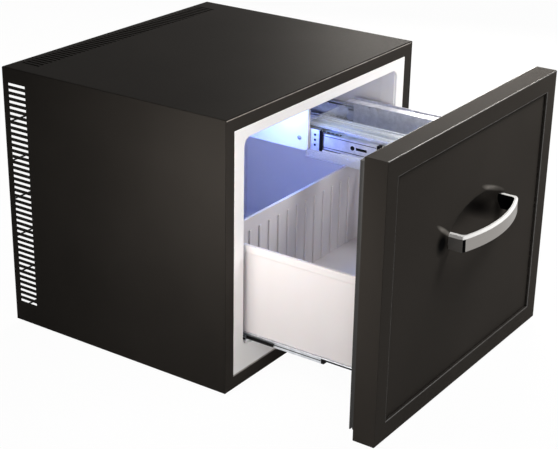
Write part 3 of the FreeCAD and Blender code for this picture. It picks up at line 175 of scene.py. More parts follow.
def cut(bm, place, normal):
    """Cut every face along a plane, so that no face goes round a corner."""
    bmesh.ops.bisect_plane(bm, geom=bm.verts[:] + bm.edges[:] + bm.faces[:], dist=WELD, plane_co=place,
                           plane_no=normal)


def finish(bm, name, materials, *nodes, angle=35.0):
    """Make a bmesh an object that stands for CAD nodes and rides their body."""
    mesh = bpy.data.meshes.new(name)
    bm.to_mesh(mesh)
    bm.free()
    for material in materials:
        mesh.materials.append(material)
    mesh.shade_smooth()
    mesh.set_sharp_from_angle(angle=math.radians(angle))
    piece = bpy.data.objects.new(name, mesh)
    bpy.context.scene.collection.objects.link(piece)
    piece.modifiers.new("Weighted normals", "WEIGHTED_NORMAL").keep_sharp = True
    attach(piece, BODY[nodes[0]])
    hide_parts(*nodes)


def softened(node, name, material, width, pick=lambda edge: True, segments=2):
    """A copy of a CAD node with its picked edges rounded."""
    bm = copy_of(node)
    ease(bm, sharp(bm, pick), width, segments)
    finish(bm, name, [material], node)


def islands(bm):
    """The box of each separate solid in a bmesh, which is then freed."""
    boxes, known = [], set()
    for start in bm.verts:
        if start in known:
            continue
        found, edge = set(), {start}
        while edge:
            vert = edge.pop()
            found.add(vert)
            edge |= {link.other_vert(vert) for link in vert.link_edges} - found
        known |= found
        boxes.append([Vector([pick(vert.co[axis] for vert in found) for axis in range(3)])
                      for pick in (min, max)])
    bm.free()
    return boxes


# --------------------------------------------------------------- materials
def linear(text):
    """An sRGB hex colour as linear numbers."""
    parts = [int(text[start:start + 2], 16) / 255 for start in (1, 3, 5)]
    return tuple(part / 12.92 if part <= 0.04045 else ((part + 0.055) / 1.055) ** 2.4
                 for part in parts) + (1.0,)


def add(tree, kind, inputs=None, **settings):
    """Add a node with its settings; an input is a number, a colour or another node's socket."""
    node = tree.nodes.new("ShaderNode" + kind)
    for name, setting in settings.items():
        setattr(node, name, setting)
    for name, given in (inputs or {}).items():
        if isinstance(given, bpy.types.NodeSocket):
            tree.links.new(given, node.inputs[name])
        else:
            node.inputs[name].default_value = given
    return node


def start_material(name):
    """An empty material with the place of each point on the piece."""
    material = bpy.data.materials.new(name)
    material.use_nodes = True
    material.node_tree.nodes.clear()
    place = add(material.node_tree, "TexCoord").outputs["Object"]
    return material, material.node_tree, place


def end_material(tree, inputs):
    """The shader that every solid finish ends in."""
    add(tree, "OutputMaterial", {"Surface": add(tree, "BsdfPrincipled", inputs).outputs["BSDF"]})


def speckle(tree, place, size, detail=2.0, stretch=(1.0, 1.0, 1.0)):
    """Noise with spots of about a size in metres, longer along the axes with a stretch over 1."""
    spread = add(tree, "Mapping", {"Vector": place, "Scale": [1.0 / part for part in stretch]})
    return add(tree, "TexNoise", {"Vector": spread.outputs["Vector"], "Scale": 1.0 / size, "Detail": detail,
                                  "Roughness": 0.5}).outputs["Fac"]


def between(tree, fac, low, high):
    """A number that runs between two others as a pattern does."""
    return add(tree, "MapRange", {"Value": fac, "From Min": 0.3, "From Max": 0.7, "To Min": low,
                                  "To Max": high}).outputs["Result"]


def tinted(tree, fac, dark, light):
    """A colour that runs between two others as a pattern does."""
    mix = add(tree, "Mix", {0: between(tree, fac, 0.0, 1.0), 6: dark, 7: light}, data_type="RGBA")
    return mix.outputs[2]


def bumped(tree, fac, depth, strength=1.0, normal=None):
    """A normal that a pattern raises by a depth in metres."""
    inputs = {"Height": fac, "Distance": depth, "Strength": strength}
    if normal is not None:
        inputs["Normal"] = normal
    return add(tree, "Bump", inputs).outputs["Normal"]


def shade(colour, factor):
    """A linear colour made darker or lighter."""
    return tuple(part * factor for part in colour[:3]) + (1.0,)


def patterned(name, pattern, colours, rough, inputs=None, relief=None):
    """A finish whose colour, roughness and any relief follow one speckle of a size, detail and stretch."""
    material, tree, place = start_material(name)
    fac = speckle(tree, place, *pattern)
    given = {"Base Color": tinted(tree, fac, *colours), "Roughness": between(tree, fac, *rough)}
    if relief:
        given["Normal"] = bumped(tree, fac, *relief)
    end_material(tree, given | (inputs or {}))
    return material


def powder_coated_steel(colour):
    """Polyester powder coat, baked on sheet steel: satin, with a fine orange peel."""
    material, tree, place = start_material("powder_coated_steel")
    cloud = speckle(tree, place, 0.15)
    # orange peel is about 1 mm across, drawn 2 mm across so that it shows
    peel = speckle(tree, place, 0.002, 3.0)
    end_material(tree, {"Base Color": tinted(tree, cloud, shade(colour, 0.92), shade(colour, 1.08)),
                        "Roughness": between(tree, peel, 0.47, 0.55), "IOR": 1.5, "Specular IOR Level": 0.004,
                        "Normal": bumped(tree, peel, 0.00006, 0.5)})
    return material


def moulded_abs(colour, name="textured_abs_black", painted_spots=()):
    """Injection-moulded ABS with an eroded texture, and soft spots of painted highlight and painted shade."""
    material, tree, place = start_material(name)
    # an eroded mould leaves grains of about 0.3 mm, drawn 1.2 mm across so that they show
    grain = speckle(tree, place, 0.0012, 3.0)
    cloud = speckle(tree, place, 0.2)
    tint = tinted(tree, cloud, shade(colour, 0.93), shade(colour, 1.07))
    # each spot blends its colour in towards its middle: a painted highlight or painted shade
    for middle, lean, size, other in painted_spots:
        spot = add(tree, "Mapping", {"Vector": place, "Location": middle, "Rotation": (0, lean, 0),
                                     "Scale": size}, vector_type="TEXTURE")
        near = add(tree, "TexGradient", {"Vector": spot.outputs["Vector"]}, gradient_type="SPHERICAL")
        share = add(tree, "MapRange", {"Value": near.outputs["Fac"], "From Max": 0.6}).outputs["Result"]
        tint = add(tree, "Mix", {0: share, 6: tint, 7: linear(other)}, data_type="RGBA").outputs[2]
    end_material(tree, {"Base Color": tint, "Roughness": between(tree, grain, 0.46, 0.54), "IOR": 1.53,
                        "Specular IOR Level": 0.002, "Normal": bumped(tree, grain, 0.00005, 0.5)})
    return material


def buffed_and_highlit_abs(colour):
    """The same ABS on the rounded edges, where handling has buffed the texture glossy, in the colour it is
    given; a paler colour is a painted highlight.
    """
    return patterned("buffed_and_highlit_abs_black", (0.02, 3.0), (colour, shade(colour, 1.3)), (0.22, 0.34),
                     {"IOR": 1.53})


def formed_polystyrene(colour):
    """Vacuum-formed high-impact polystyrene: white, softly glossy and a little wavy from the mould."""
    material, tree, place = start_material("formed_polystyrene_white")
    wave = speckle(tree, place, 0.05, 1.0)
    grain = speckle(tree, place, 0.0015)
    waved = bumped(tree, wave, 0.0008, 0.3)
    end_material(tree, {"Base Color": tinted(tree, wave, shade(colour, 0.975), colour),
                        "Roughness": between(tree, grain, 0.30, 0.38), "IOR": 1.59,
                        "Normal": bumped(tree, grain, 0.00002, 0.3, waved),
                        "Subsurface Weight": 0.05, "Subsurface Scale": 0.002})
    return material


def moulded_polypropylene(colour):
    """Injection-moulded polypropylene: milky white with a fine matt texture."""
    material, tree, place = start_material("moulded_polypropylene_white")
    flow = speckle(tree, place, 0.06, 2.0, (1.0, 1.0, 3.0))
    grain = speckle(tree, place, 0.0012)
    end_material(tree, {"Base Color": tinted(tree, flow, shade(colour, 0.97), colour),
                        "Roughness": between(tree, grain, 0.42, 0.55), "IOR": 1.49,
                        "Normal": bumped(tree, grain, 0.00004, 0.4),
                        "Subsurface Weight": 0.08, "Subsurface Scale": 0.003})
    return material


def clear_polystyrene(colour):
    """Crystal polystyrene: clear, and drawn whiter and less clear where the eye looks along the wall, a
    painted reflection.
    """
    material, tree, place = start_material("clear_polystyrene")
    scuff = speckle(tree, place, 0.004, 4.0, (1.0, 6.0, 1.0))
    # the wall shows its white colour where the eye looks along it: a painted reflection
    edge = add(tree, "LayerWeight", {"Blend": 0.35}).outputs["Facing"]
    body = add(tree, "MapRange", {"Value": edge, "To Min": 0.05, "To Max": 0.6}).outputs["Result"]
    end_material(tree, {"Base Color": colour, "Roughness": between(tree, scuff, 0.05, 0.16), "IOR": 1.59,
                        "Alpha": body, "Normal": bumped(tree, scuff, 0.0001, 0.2)})
    return material


def glare_streaked_plastic(colour, least, most):
    """The same plastic where it is thick or ribbed, drawn in white, less clear streaks: a painted highlight.
    """
    material, tree, place = start_material("clear_polystyrene_painted_glare")
    flow = speckle(tree, place, 0.004, 3.0, (1.0, 30.0, 1.0))
    end_material(tree, {"Base Color": tinted(tree, flow, shade(colour, 0.8), colour), "IOR": 1.59,
                        "Roughness": between(tree, flow, 0.12, 0.25),
                        "Alpha": between(tree, flow, least, most)})
    return material


def zinc_plated_steel():
    """Rolled steel strip with bright zinc plating: cool grey, with faint rolling streaks and bloom."""
    material, tree, place = start_material("zinc_plated_steel")
    # rolling streaks are under 0.1 mm wide, drawn 0.6 mm wide so that they show
    streak = speckle(tree, place, 0.0006, 3.0, (1.0, 60.0, 1.0))
    bloom = speckle(tree, place, 0.012, 4.0)
    end_material(tree, {"Base Color": tinted(tree, bloom, linear("#c3c6cb"), linear("#e2e4e8")),
                        "Metallic": 1.0, "Roughness": between(tree, streak, 0.34, 0.42),
                        "Normal": bumped(tree, streak, 0.00002, 0.25)})
    return material


def galvanised_sheet():
    """Hot-dipped steel sheet: pale, dull and softly mottled with spangle."""
    return patterned("galvanised_sheet", (0.008, 3.0), (linear("#cfcfd6"), linear("#ececf2")), (0.45, 0.55),
                     {"Metallic": 0.35})


def brushed_nickel(colour):
    """Die-cast zinc, satin brushed along its length and nickel plated: soft grey with level lines."""
    # brushing lines are about 0.1 mm apart, drawn 0.5 mm apart so that they show
    return patterned("brushed_nickel_plate", (0.0005, 4.0, (80.0, 80.0, 1.0)), (shade(colour, 0.9), colour),
                     (0.40, 0.50), {"Metallic": 1.0}, (0.00004, 0.5))


def bright_crown_with_highlight(colour):
    """The handle's cut edges: bright metal, drawn near-white and barely metallic so that they stay pale from
    every side, partly a painted highlight.
    """
    material, tree, place = start_material("bright_crown_painted_highlight")
    haze = speckle(tree, place, 0.004, 3.0)
    end_material(tree, {"Base Color": colour, "Metallic": 0.2, "Roughness": between(tree, haze, 0.14, 0.24)})
    return material


def plain_screw_steel():
    """Carbon steel screws with a thin zinc coat."""
    return patterned("zinc_screw_steel", (0.0015, 3.0), (linear("#8e9195"), linear("#b9bcc0")), (0.28, 0.42),
                     {"Metallic": 1.0})


def extruded_pvc():
    """Soft PVC seal with a magnet inside: dark grey, and dull."""
    return patterned("magnetic_seal_pvc", (0.01, 4.0), (linear("#1b1a19"), linear("#262524")), (0.55, 0.70),
                     {"IOR": 1.53})


def moulded_rubber():
    """Moulded rubber feet: black with a grey bloom."""
    return patterned("moulded_rubber", (0.003, 4.0), (linear("#171615"), linear("#2b2a29")), (0.70, 0.85),
                     {"IOR": 1.52}, (0.0001, 0.3))


def moulded_nylon():
    """Black nylon of the slides' bumpers and ball cages."""
    return patterned("moulded_nylon_black", (0.001, 2.0), (linear("#0e0e0e"), linear("#171718")),
                     (0.40, 0.55), {"IOR": 1.53, "Specular IOR Level": 0.05})


def polyurethane_foam():
    """Blown polyurethane foam: pale yellow, with small closed cells."""
    material, tree, place = start_material("polyurethane_foam")
    # cells are about 0.5 mm across, drawn 3 mm across so that they show
    cells = add(tree, "TexVoronoi", {"Vector": place, "Scale": 330.0}).outputs["Distance"]
    end_material(tree, {"Base Color": tinted(tree, cells, linear("#b79f63"), linear("#ded0a0")),
                        "Roughness": 0.9, "Normal": bumped(tree, cells, 0.0004, 0.6)})
    return material


def mill_aluminium():
    """Extruded aluminium fins as they leave the die: pale, with faint lines along the die."""
    return patterned("extruded_aluminium", (0.0006, 3.0, (1.0, 1.0, 60.0)),
                     (linear("#c3c6c9"), linear("#e2e4e6")), (0.30, 0.45), {"Metallic": 1.0}, (0.00003, 0.4))


def lacquered_tube():
    """Steel tube dipped in black lacquer: half gloss, with slow runs."""
    return patterned("black_lacquered_tube", (0.01, 2.0, (1.0, 1.0, 4.0)),
                     (linear("#0f0f10"), linear("#1c1c1d")), (0.28, 0.42), {"IOR": 1.5}, (0.0002, 0.3))


def lamp_diffuser(colour):
    """A frosted polycarbonate lens that glows with cold light."""
    material, tree, place = start_material("frosted_polycarbonate")
    frost = speckle(tree, place, 0.001, 2.0)
    end_material(tree, {"Base Color": linear("#e6f4fb"), "Roughness": between(tree, frost, 0.4, 0.6),
                        "Emission Color": colour, "Emission Strength": 1.0, "IOR": 1.58})
    return material


# ---------------------------------------------------------------- settings
def colour_setting(name, description, default):
    """A colour that a user can change."""
    return FloatVectorProperty(name=name, description=description, size=4, min=0.0, max=1.0, subtype="COLOR",
                               default=linear(default))


def length_setting(name, description, default):
    """A length that a user can change."""
    return FloatProperty(name=name, description=description, default=default, min=0.0, unit="LENGTH",
                         precision=4)


class CaseSettings(bpy.types.PropertyGroup):
    """Sizes and colours of the case and its cavity."""
    paint: colour_setting("Paint", "Powder coat on the steel case", "#23211f")
    frame: colour_setting("Frame", "Plastic frame around the mouth", "#33302d")
    fold: length_setting("Fold", "Rounding of the case's folded edges", 0.0014)
    flange: length_setting("Flange", "Height of the fold at the top's rear edge", 0.026)
    liner: colour_setting("Liner", "White of the cavity", "#f1efef")
    mouth: length_setting("Mouth", "Rounding of the cavity's front edge", 0.0014)
    # how much paler the frame's top edge is drawn: a painted highlight
    frame_highlight: FloatProperty(name="Wear", description="How much paler the frame's buffed top edge is", default=7.0,
                        min=1.0)
    lamp: colour_setting("Lamp", "Light of the interior lamp", "#a8dcff")
    glow: colour_setting("Glow", "Blue light on the cavity's right wall", "#7088ff")
    lamp_power: FloatProperty(name="Lamp power", description="Power of the interior lamp", default=0.095,
                              min=0.0, unit="POWER")


class DoorSettings(bpy.types.PropertyGroup):
    """Sizes and colours of the door and its handle."""
    shell: colour_setting("Shell", "Plastic of the door's frame and panel", "#33302d")
    edge: length_setting("Edge", "Rounding of the door's edges", 0.0010)
    scoop_width: length_setting("Scoop width", "Width of the hand recess", 0.180)
    scoop_height: length_setting("Scoop height", "Height of the hand recess", 0.078)
    scoop_depth: length_setting("Scoop depth", "Depth of the hand recess", 0.022)
    deepest: FloatProperty(name="Deepest", description="How far up the recess its deepest line lies",
                           default=0.58, min=0.3, max=0.9, subtype="FACTOR")
    leg: length_setting("Leg", "How far the handle's corners stand out of the panel", 0.023)
    crown: length_setting("Crown", "Chamfer of the handle's upper outer edge", 0.0034)
    # the rounding of the handle's upright corners; at the handle's ends these are drawn black
    seam: length_setting("Seam", "Width of the dark seams at the handle's corners", 0.0024)
    brushed: colour_setting("Brushed metal", "Satin faces of the handle", "#9c9894")
    # near-white colour of the handle's upward faces, partly a painted highlight
    bright_crown_highlight: colour_setting("Polished metal", "Bright edges of the handle", "#fbfaf8")


class DrawerSettings(bpy.types.PropertyGroup):
    """Sizes and colours of what the drawer carries."""
    bin: colour_setting("Bin", "Plastic of the bottle bin", "#d3cfd1")
    rib_pitch: length_setting("Rib pitch", "From one rib of the bin's back wall to the next", 0.026)
    tray: colour_setting("Tray", "Clear plastic of the top tray", "#eef4fb")
    ledge: length_setting("Ledge", "Reach of the ribbed ledge along the tray's left side", 0.046)
    fold: length_setting("Fold", "Width of the fold along the right strip's top edge", 0.016)
    race: length_setting("Race", "From the middle of a slide's web to the line along its ball race", 0.0095)
    ball: length_setting("Ball", "Diameter of the balls in the slides", 0.0026)
    ball_pitch: length_setting("Ball pitch", "From one ball to the next", 0.008)


# ------------------------------------------------------------------ pieces
class MINIBAR_OT_case(bpy.types.Operator):
    """Make the folded steel case, its bottom sheet, its front frame and its feet"""
    bl_idname = "minibar.case"
    bl_label = "Case"

    def execute(self, context):
        looks = context.scene.minibar_case
        steel = powder_coated_steel(looks.paint)
        low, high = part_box("cabinet_wrap")

        def fold(edge):
            a, b = (vert.co for vert in edge.verts)
            return (a - b).length > 0.2 and abs(a.x) > high.x - 1 * MM and min(a.z, b.z) > high.z - 1.5 * MM

        bm = copy_of("cabinet_wrap")
        ease(bm, sharp(bm, fold), looks.fold, 3)
        beside = 3 * MM  # from a fold to the cut that keeps every face from going round it
        for place, normal in (((low.x + beside, 0, 0), (1, 0, 0)), ((high.x - beside, 0, 0), (1, 0, 0)),
                              ((0, 0, high.z - beside), (0, 0, 1))):
            cut(bm, place, normal)
        # the top's rear edge is folded down
        block(bm, (low.x + 1.2 * MM, high.y - 1 * MM, high.z - 1 * MM - looks.flange),
              (high.x - 1.2 * MM, high.y, high.z - 0.8 * MM), 0.3 * MM)
        finish(bm, "case_wrap", [steel], "cabinet_wrap")
        softened("base_plate", "case_bottom", steel, 0.25 * MM, longer(0.2))
        plastic = moulded_abs(looks.frame)
        bm = copy_of("front_frame")
        ease(bm, sharp(bm, longer(0.2)), 1.8 * MM)
        bm.normal_update()
        # the frame's rounded top front edge is drawn much paler: a painted highlight
        for face in bm.faces:
            if face.normal.z > SLANTED and face.normal.y < -SLANTED:
                face.material_index = 1
        finish(bm, "mouth_frame", [plastic, buffed_and_highlit_abs(shade(looks.frame, looks.frame_highlight))], "front_frame")
        softened("feet", "rubber_feet", moulded_rubber(), 0.8 * MM, longer(0.0))
        return {"FINISHED"}


class MINIBAR_OT_cavity(bpy.types.Operator):
    """Make the white cavity, the panel that carries the upper slide, the lamp and the insulation"""
    bl_idname = "minibar.cavity"
    bl_label = "Cavity"

    def execute(self, context):
        looks = context.scene.minibar_case
        white = formed_polystyrene(looks.liner)
        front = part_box("inner_liner")[0].y

        def rim(edge):
            a, b = (vert.co for vert in edge.verts)
            return abs(a.y - front) < WELD and abs(b.y - front) < WELD

        bm = copy_of("inner_liner")
        ease(bm, sharp(bm, rim), looks.mouth, 3)
        # a raised band runs up the right wall, just inside the mouth
        sill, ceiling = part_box("lower_right_fixed_member")[0].z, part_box("slide_hanger")[1].z
        block(bm, (CAVITY_SIDE - 2 * MM, front + 3 * MM, sill - 1 * MM),
              (CAVITY_SIDE + 0.5 * MM, front + 29 * MM, ceiling - 4 * MM), 1 * MM)
        finish(bm, "white_cavity", [white], "inner_liner")
        softened("slide_hanger", "hanger_panel", white, 0.8 * MM, longer(0.02))
        softened("lamp_housing", "lamp_body", white, 0.6 * MM, longer(0.02))
        softened("lamp_lens", "lamp_glass", lamp_diffuser(looks.lamp), 0.3 * MM)
        softened("insulation_foam", "case_foam", polyurethane_foam(), 1.0 * MM, longer(0.2))
        softened("rear_bulkhead", "bay_wall", zinc_plated_steel(), 0.25 * MM, longer(0.2))
        return {"FINISHED"}


class MINIBAR_OT_door(bpy.types.Operator):
    """Make the door: raised border, recessed panel with its hand recess, white back and seal"""
    bl_idname = "minibar.door"
    bl_label = "Door"

    def execute(self, context):
        looks = context.scene.minibar_door
        shell = moulded_abs(looks.shell)
        bm = copy_of("door_frame")
        ease(bm, sharp(bm, longer(0.3)), looks.edge, 3)
        bm.normal_update()
        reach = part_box("door_frame")[1].x - 5 * MM  # the edges down its outer sides aren't buffed
        for face in bm.faces:
            inner = abs(face.calc_center_median().x) < reach
            if max(abs(part) for part in face.normal) < 0.99 and (inner or face.normal.z > SLANTED):
                face.material_index = 1
        finish(bm, "door_border", [shell, buffed_and_highlit_abs(looks.shell)], "door_frame")
        self.panel(looks)
        softened("door_back_panel", "door_back", formed_polystyrene(context.scene.minibar_case.liner),
                 0.8 * MM, longer(0.02))
        self.foam(looks)
        self.seal()
        return {"FINISHED"}

    def sink(self, looks, verts, behind=None):
        """Sink a sheet's corners by the depth of the hand recess, or clear a solid's from behind it."""
        centre = centre_of("handle_bow") + Vector((0, 0, SCOOP_LIFT))
        for vert in verts:
            across = (vert.co.x - centre.x) * 2 / looks.scoop_width
            lean = SCOOP_TILT * (vert.co.x - centre.x)
            up = (vert.co.z - centre.z - lean) * 2 / looks.scoop_height
            depth = looks.scoop_depth * dent(across, up, looks.deepest)
            if behind is None:
                vert.co.y += depth
            elif depth > 0:
                vert.co.y = max(vert.co.y, behind + depth)

    def foam(self, looks):
        """The foam behind the panel, clear of the hand recess."""
        bm = copy_of("door_core")
        ease(bm, sharp(bm, longer(0.2)), 1.0 * MM)
        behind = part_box("door_panel")[0].y + PANEL_THICK + 1.5 * MM
        self.sink(looks, bm.verts, behind)
        finish(bm, "door_foam", [polyurethane_foam()], "door_core")

    def panel(self, looks):
        """The panel: a fine sheet that sinks into the recess, and is then given its thickness."""
        low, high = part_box("door_panel")
        bm = bmesh.new()
        made = bmesh.ops.create_grid(bm, x_segments=204, y_segments=168, size=0.5)["verts"]
        bmesh.ops.transform(bm, verts=made, matrix=(
            Matrix.Translation(((low.x + high.x) / 2, low.y, (low.z + high.z) / 2))
            @ Matrix.Diagonal((high.x - low.x, 1, high.z - low.z, 1)) @ Matrix.Rotation(math.pi / 2, 4, "X")))
        self.sink(looks, made)
        bmesh.ops.recalc_face_normals(bm, faces=bm.faces)
        if sum(part.normal.y for part in bm.faces) > 0:
            bmesh.ops.reverse_faces(bm, faces=bm.faces)
        bmesh.ops.solidify(bm, geom=bm.faces[:], thickness=PANEL_THICK)
        grip = centre_of("handle_bow")
        # painted highlights, painted shade and a painted shadow on the panel round the handle
        painted_spots = [((grip.x + x, low.y, grip.z + z), math.radians(lean), (length, PAINTED_SPOT_DEPTH, width), colour)
                for (x, z), lean, length, width, colour in PAINTED_SPOTS]
        finish(bm, "door_sheet", [moulded_abs(looks.shell, "abs_black_painted_light", painted_spots)], "door_panel")

    def seal(self):
        """The seal: two grooves run round it, as the folds of a bellows."""
        low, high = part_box("door_gasket")
        bm = copy_of("door_gasket")
        depth, width, groove, near = high.y - low.y, 18 * MM, 2 * MM, 1 * MM
        for share in SEAL_CUTS:
            cut(bm, (0, low.y + share * depth, 0), (0, 1, 0))
        middle = (low + high) / 2
        for vert in bm.verts:
            share = (vert.co.y - low.y) / depth
            if min(abs(share - fold) for fold in SEAL_FOLDS) > 0.02:
                continue
            for axis in (0, 2):
                reach, away = (high[axis] - low[axis]) / 2, vert.co[axis] - middle[axis]
                if abs(abs(away) - reach) < near:
                    vert.co[axis] -= math.copysign(groove, away)
                elif abs(abs(away) - reach + width) < near:
                    vert.co[axis] += math.copysign(groove, away)
        finish(bm, "door_seal", [extruded_pvc()], "door_gasket", angle=60.0)


def dent(across, up, deepest):
    """How deep the hand recess is, from 0 to 1, at a share of its half width and half height.

    The lower side slopes gently in and the upper wall is steep, and both leave the panel softly.
    """
    if abs(across) >= 1:
        return 0.0
    span = (1 - across ** 2) ** 0.5
    share = (up / span + 1) / 2
    if not 0 < share < 1:
        return 0.0
    if share < deepest:
        part = share / deepest
        slope, bow = part * part * (3 - 2 * part), 1 - (1 - part) ** 2
        rise = 0.6 * slope + 0.4 * bow
    else:
        part = (1 - share) / (1 - deepest)
        rise = (1 - (1 - part) ** 2.6) * min(1.0, 0.35 + part * 2.2)
    return span ** 1.3 * rise


class MINIBAR_OT_handle(bpy.types.Operator):
    """Make the bowed handle, satin brushed, with bright top edges that are partly a painted highlight,
    painted shade on its inner faces, black strips down its end corners, and its screws
    """
    bl_idname = "minibar.handle"
    bl_label = "Handle"

    def execute(self, context):
        looks = context.scene.minibar_door
        low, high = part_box("handle_bow")
        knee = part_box("door_panel")[0].y - looks.leg
        middle, half = (low.x + high.x) / 2, (high.x - low.x) / 2

        def crown(edge):
            side = edge.verts[0].co.x - middle
            return any(face.normal.z > 0.9 for face in edge.link_faces) and any(
                face.normal.y < -0.5 or face.normal.x * side > 0.5 * half for face in edge.link_faces)

        def upright(edge):
            return abs((edge.verts[0].co - edge.verts[1].co).normalized().z) > 0.9

        bm = copy_of("handle_bow")
        bm.normal_update()
        ease(bm, sharp(bm, crown, 50.0), looks.crown, 1)
        bm.normal_update()
        for vert in bm.verts:
            slopes = [face.normal.z for face in vert.link_faces]
            if 0.4 < max(slopes) < 0.9:  # the chamfer's lower corners go down, so it is taller than deep
                vert.co.z -= looks.crown * 0.5
        bm.normal_update()
        ease(bm, sharp(bm, upright, 25.0), looks.seam, 1)
        bm.normal_update()
        for face in bm.faces:
            at, normal = face.calc_center_median(), face.normal
            turned = min(abs(normal.x), abs(normal.y)) > 0.3 and abs(normal.z) < SLANTED
            inner = normal.y > 0.5 or normal.x * (at.x - middle) < -0.5 * half
            # the rounded upright corners at the ends are drawn black
            if turned and abs(at.x - middle) > half - 4 * MM and at.y < knee + 3 * MM:
                face.material_index = 2
            # upward faces take the near-white colour: partly a painted highlight
            elif normal.z > SLANTED:
                face.material_index = 1
            # faces towards the panel and the handle's middle are drawn black: painted shade
            elif inner:
                face.material_index = 2
        finish(bm, "grip", [brushed_nickel(looks.brushed), bright_crown_with_highlight(looks.bright_crown_highlight),
                            moulded_abs(linear("#0b0b0b"), "grip_painted_shade_and_corner_abs")], "handle_bow")
        screws("handle_screws", "grip_screws", (0, 1, 0), plain_screw_steel())
        return {"FINISHED"}


class MINIBAR_OT_bin(bpy.types.Operator):
    """Make the white bottle bin, with its thick rim and the ribs of its back wall"""
    bl_idname = "minibar.bin"
    bl_label = "Bottle bin"

    def execute(self, context):
        looks = context.scene.minibar_drawer
        bm = copy_of("bottle_bin")
        ease(bm, sharp(bm, longer(0.001), 50.0), 0.8 * MM)
        low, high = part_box("bottle_bin")
        back = high.y - 5.5 * MM  # the inner face of the back wall
        plain = 60 * MM  # what has no ribs, at the wall's two ends together
        count = int((high.x - low.x - plain) / looks.rib_pitch)
        for index in range(count + 1):
            x = (index - count / 2) * looks.rib_pitch
            block(bm, (x - 2.5 * MM, back - 2.5 * MM, low.z + 3 * MM),
                  (x + 2.5 * MM, back + 0.5 * MM, high.z - 20 * MM), 1.2 * MM)
        finish(bm, "bottle_box", [moulded_polypropylene(looks.bin)], "bottle_bin")
        return {"FINISHED"}


class MINIBAR_OT_tray(bpy.types.Operator):
    """Make the clear top tray and the four steel brackets that carry the tray and the bin"""
    bl_idname = "minibar.tray"
    bl_label = "Tray and brackets"

    def execute(self, context):
        looks = context.scene.minibar_drawer
        self.tray(looks)
        zinc = zinc_plated_steel()
        for side in ("left", "right"):
            softened("bin_bracket_" + side, "bin_strip_" + side, zinc, 0.4 * MM, longer(0.02))
        softened("tray_bracket_left", "tray_strip_left", zinc, 0.4 * MM, longer(0.02))
        low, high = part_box("tray_bracket_right")
        bm = copy_of("tray_bracket_right")
        ease(bm, sharp(bm, longer(0.02)), 0.4 * MM)
        block(bm, (low.x, low.y, high.z - 1.2 * MM), (low.x + looks.fold, high.y, high.z), 0.4 * MM)
        finish(bm, "tray_strip_right", [galvanised_sheet()], "tray_bracket_right")
        return {"FINISHED"}

    def tray(self, looks):
        """The tray: clear thin walls, a flange over the left slide and a ribbed ledge beside it, both drawn
        with painted glare.
        """
        low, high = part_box("clear_tray")
        flange = 9 * MM
        bm = copy_of("clear_tray")
        ease(bm, sharp(bm, longer(0.02)), 0.7 * MM)
        cut(bm, (low.x + flange, 0, 0), (1, 0, 0))
        bm.normal_update()
        # the flange's top, the ledge and its ribs take white streaks of painted glare
        for face in bm.faces:
            at = face.calc_center_median()
            if face.normal.z > 0.5 and at.z > high.z - 3 * MM and at.x < low.x + flange:
                face.material_index = 1
        start, end = low.y + 3 * MM, high.y - 3 * MM
        block(bm, (low.x + flange, start, high.z - 2.4 * MM), (low.x + looks.ledge, end, high.z - 1.4 * MM),
              material=1)
        # the ledge's ribs: how far across it each lies, and half its width
        for share, wide in ((0.0, 1.2 * MM), (0.3, 0.4 * MM), (0.42, 0.4 * MM), (1.0, 1.5 * MM)):
            x = low.x + flange + (looks.ledge - flange) * share
            block(bm, (x - wide, start, high.z - 2.6 * MM), (x + wide, end, high.z), 0.3 * MM, 1, material=2)
        finish(bm, "top_tray", [clear_polystyrene(looks.tray), glare_streaked_plastic(looks.tray, 0.1, 0.7),
                                glare_streaked_plastic(looks.tray, 0.7, 0.95)], "clear_tray")


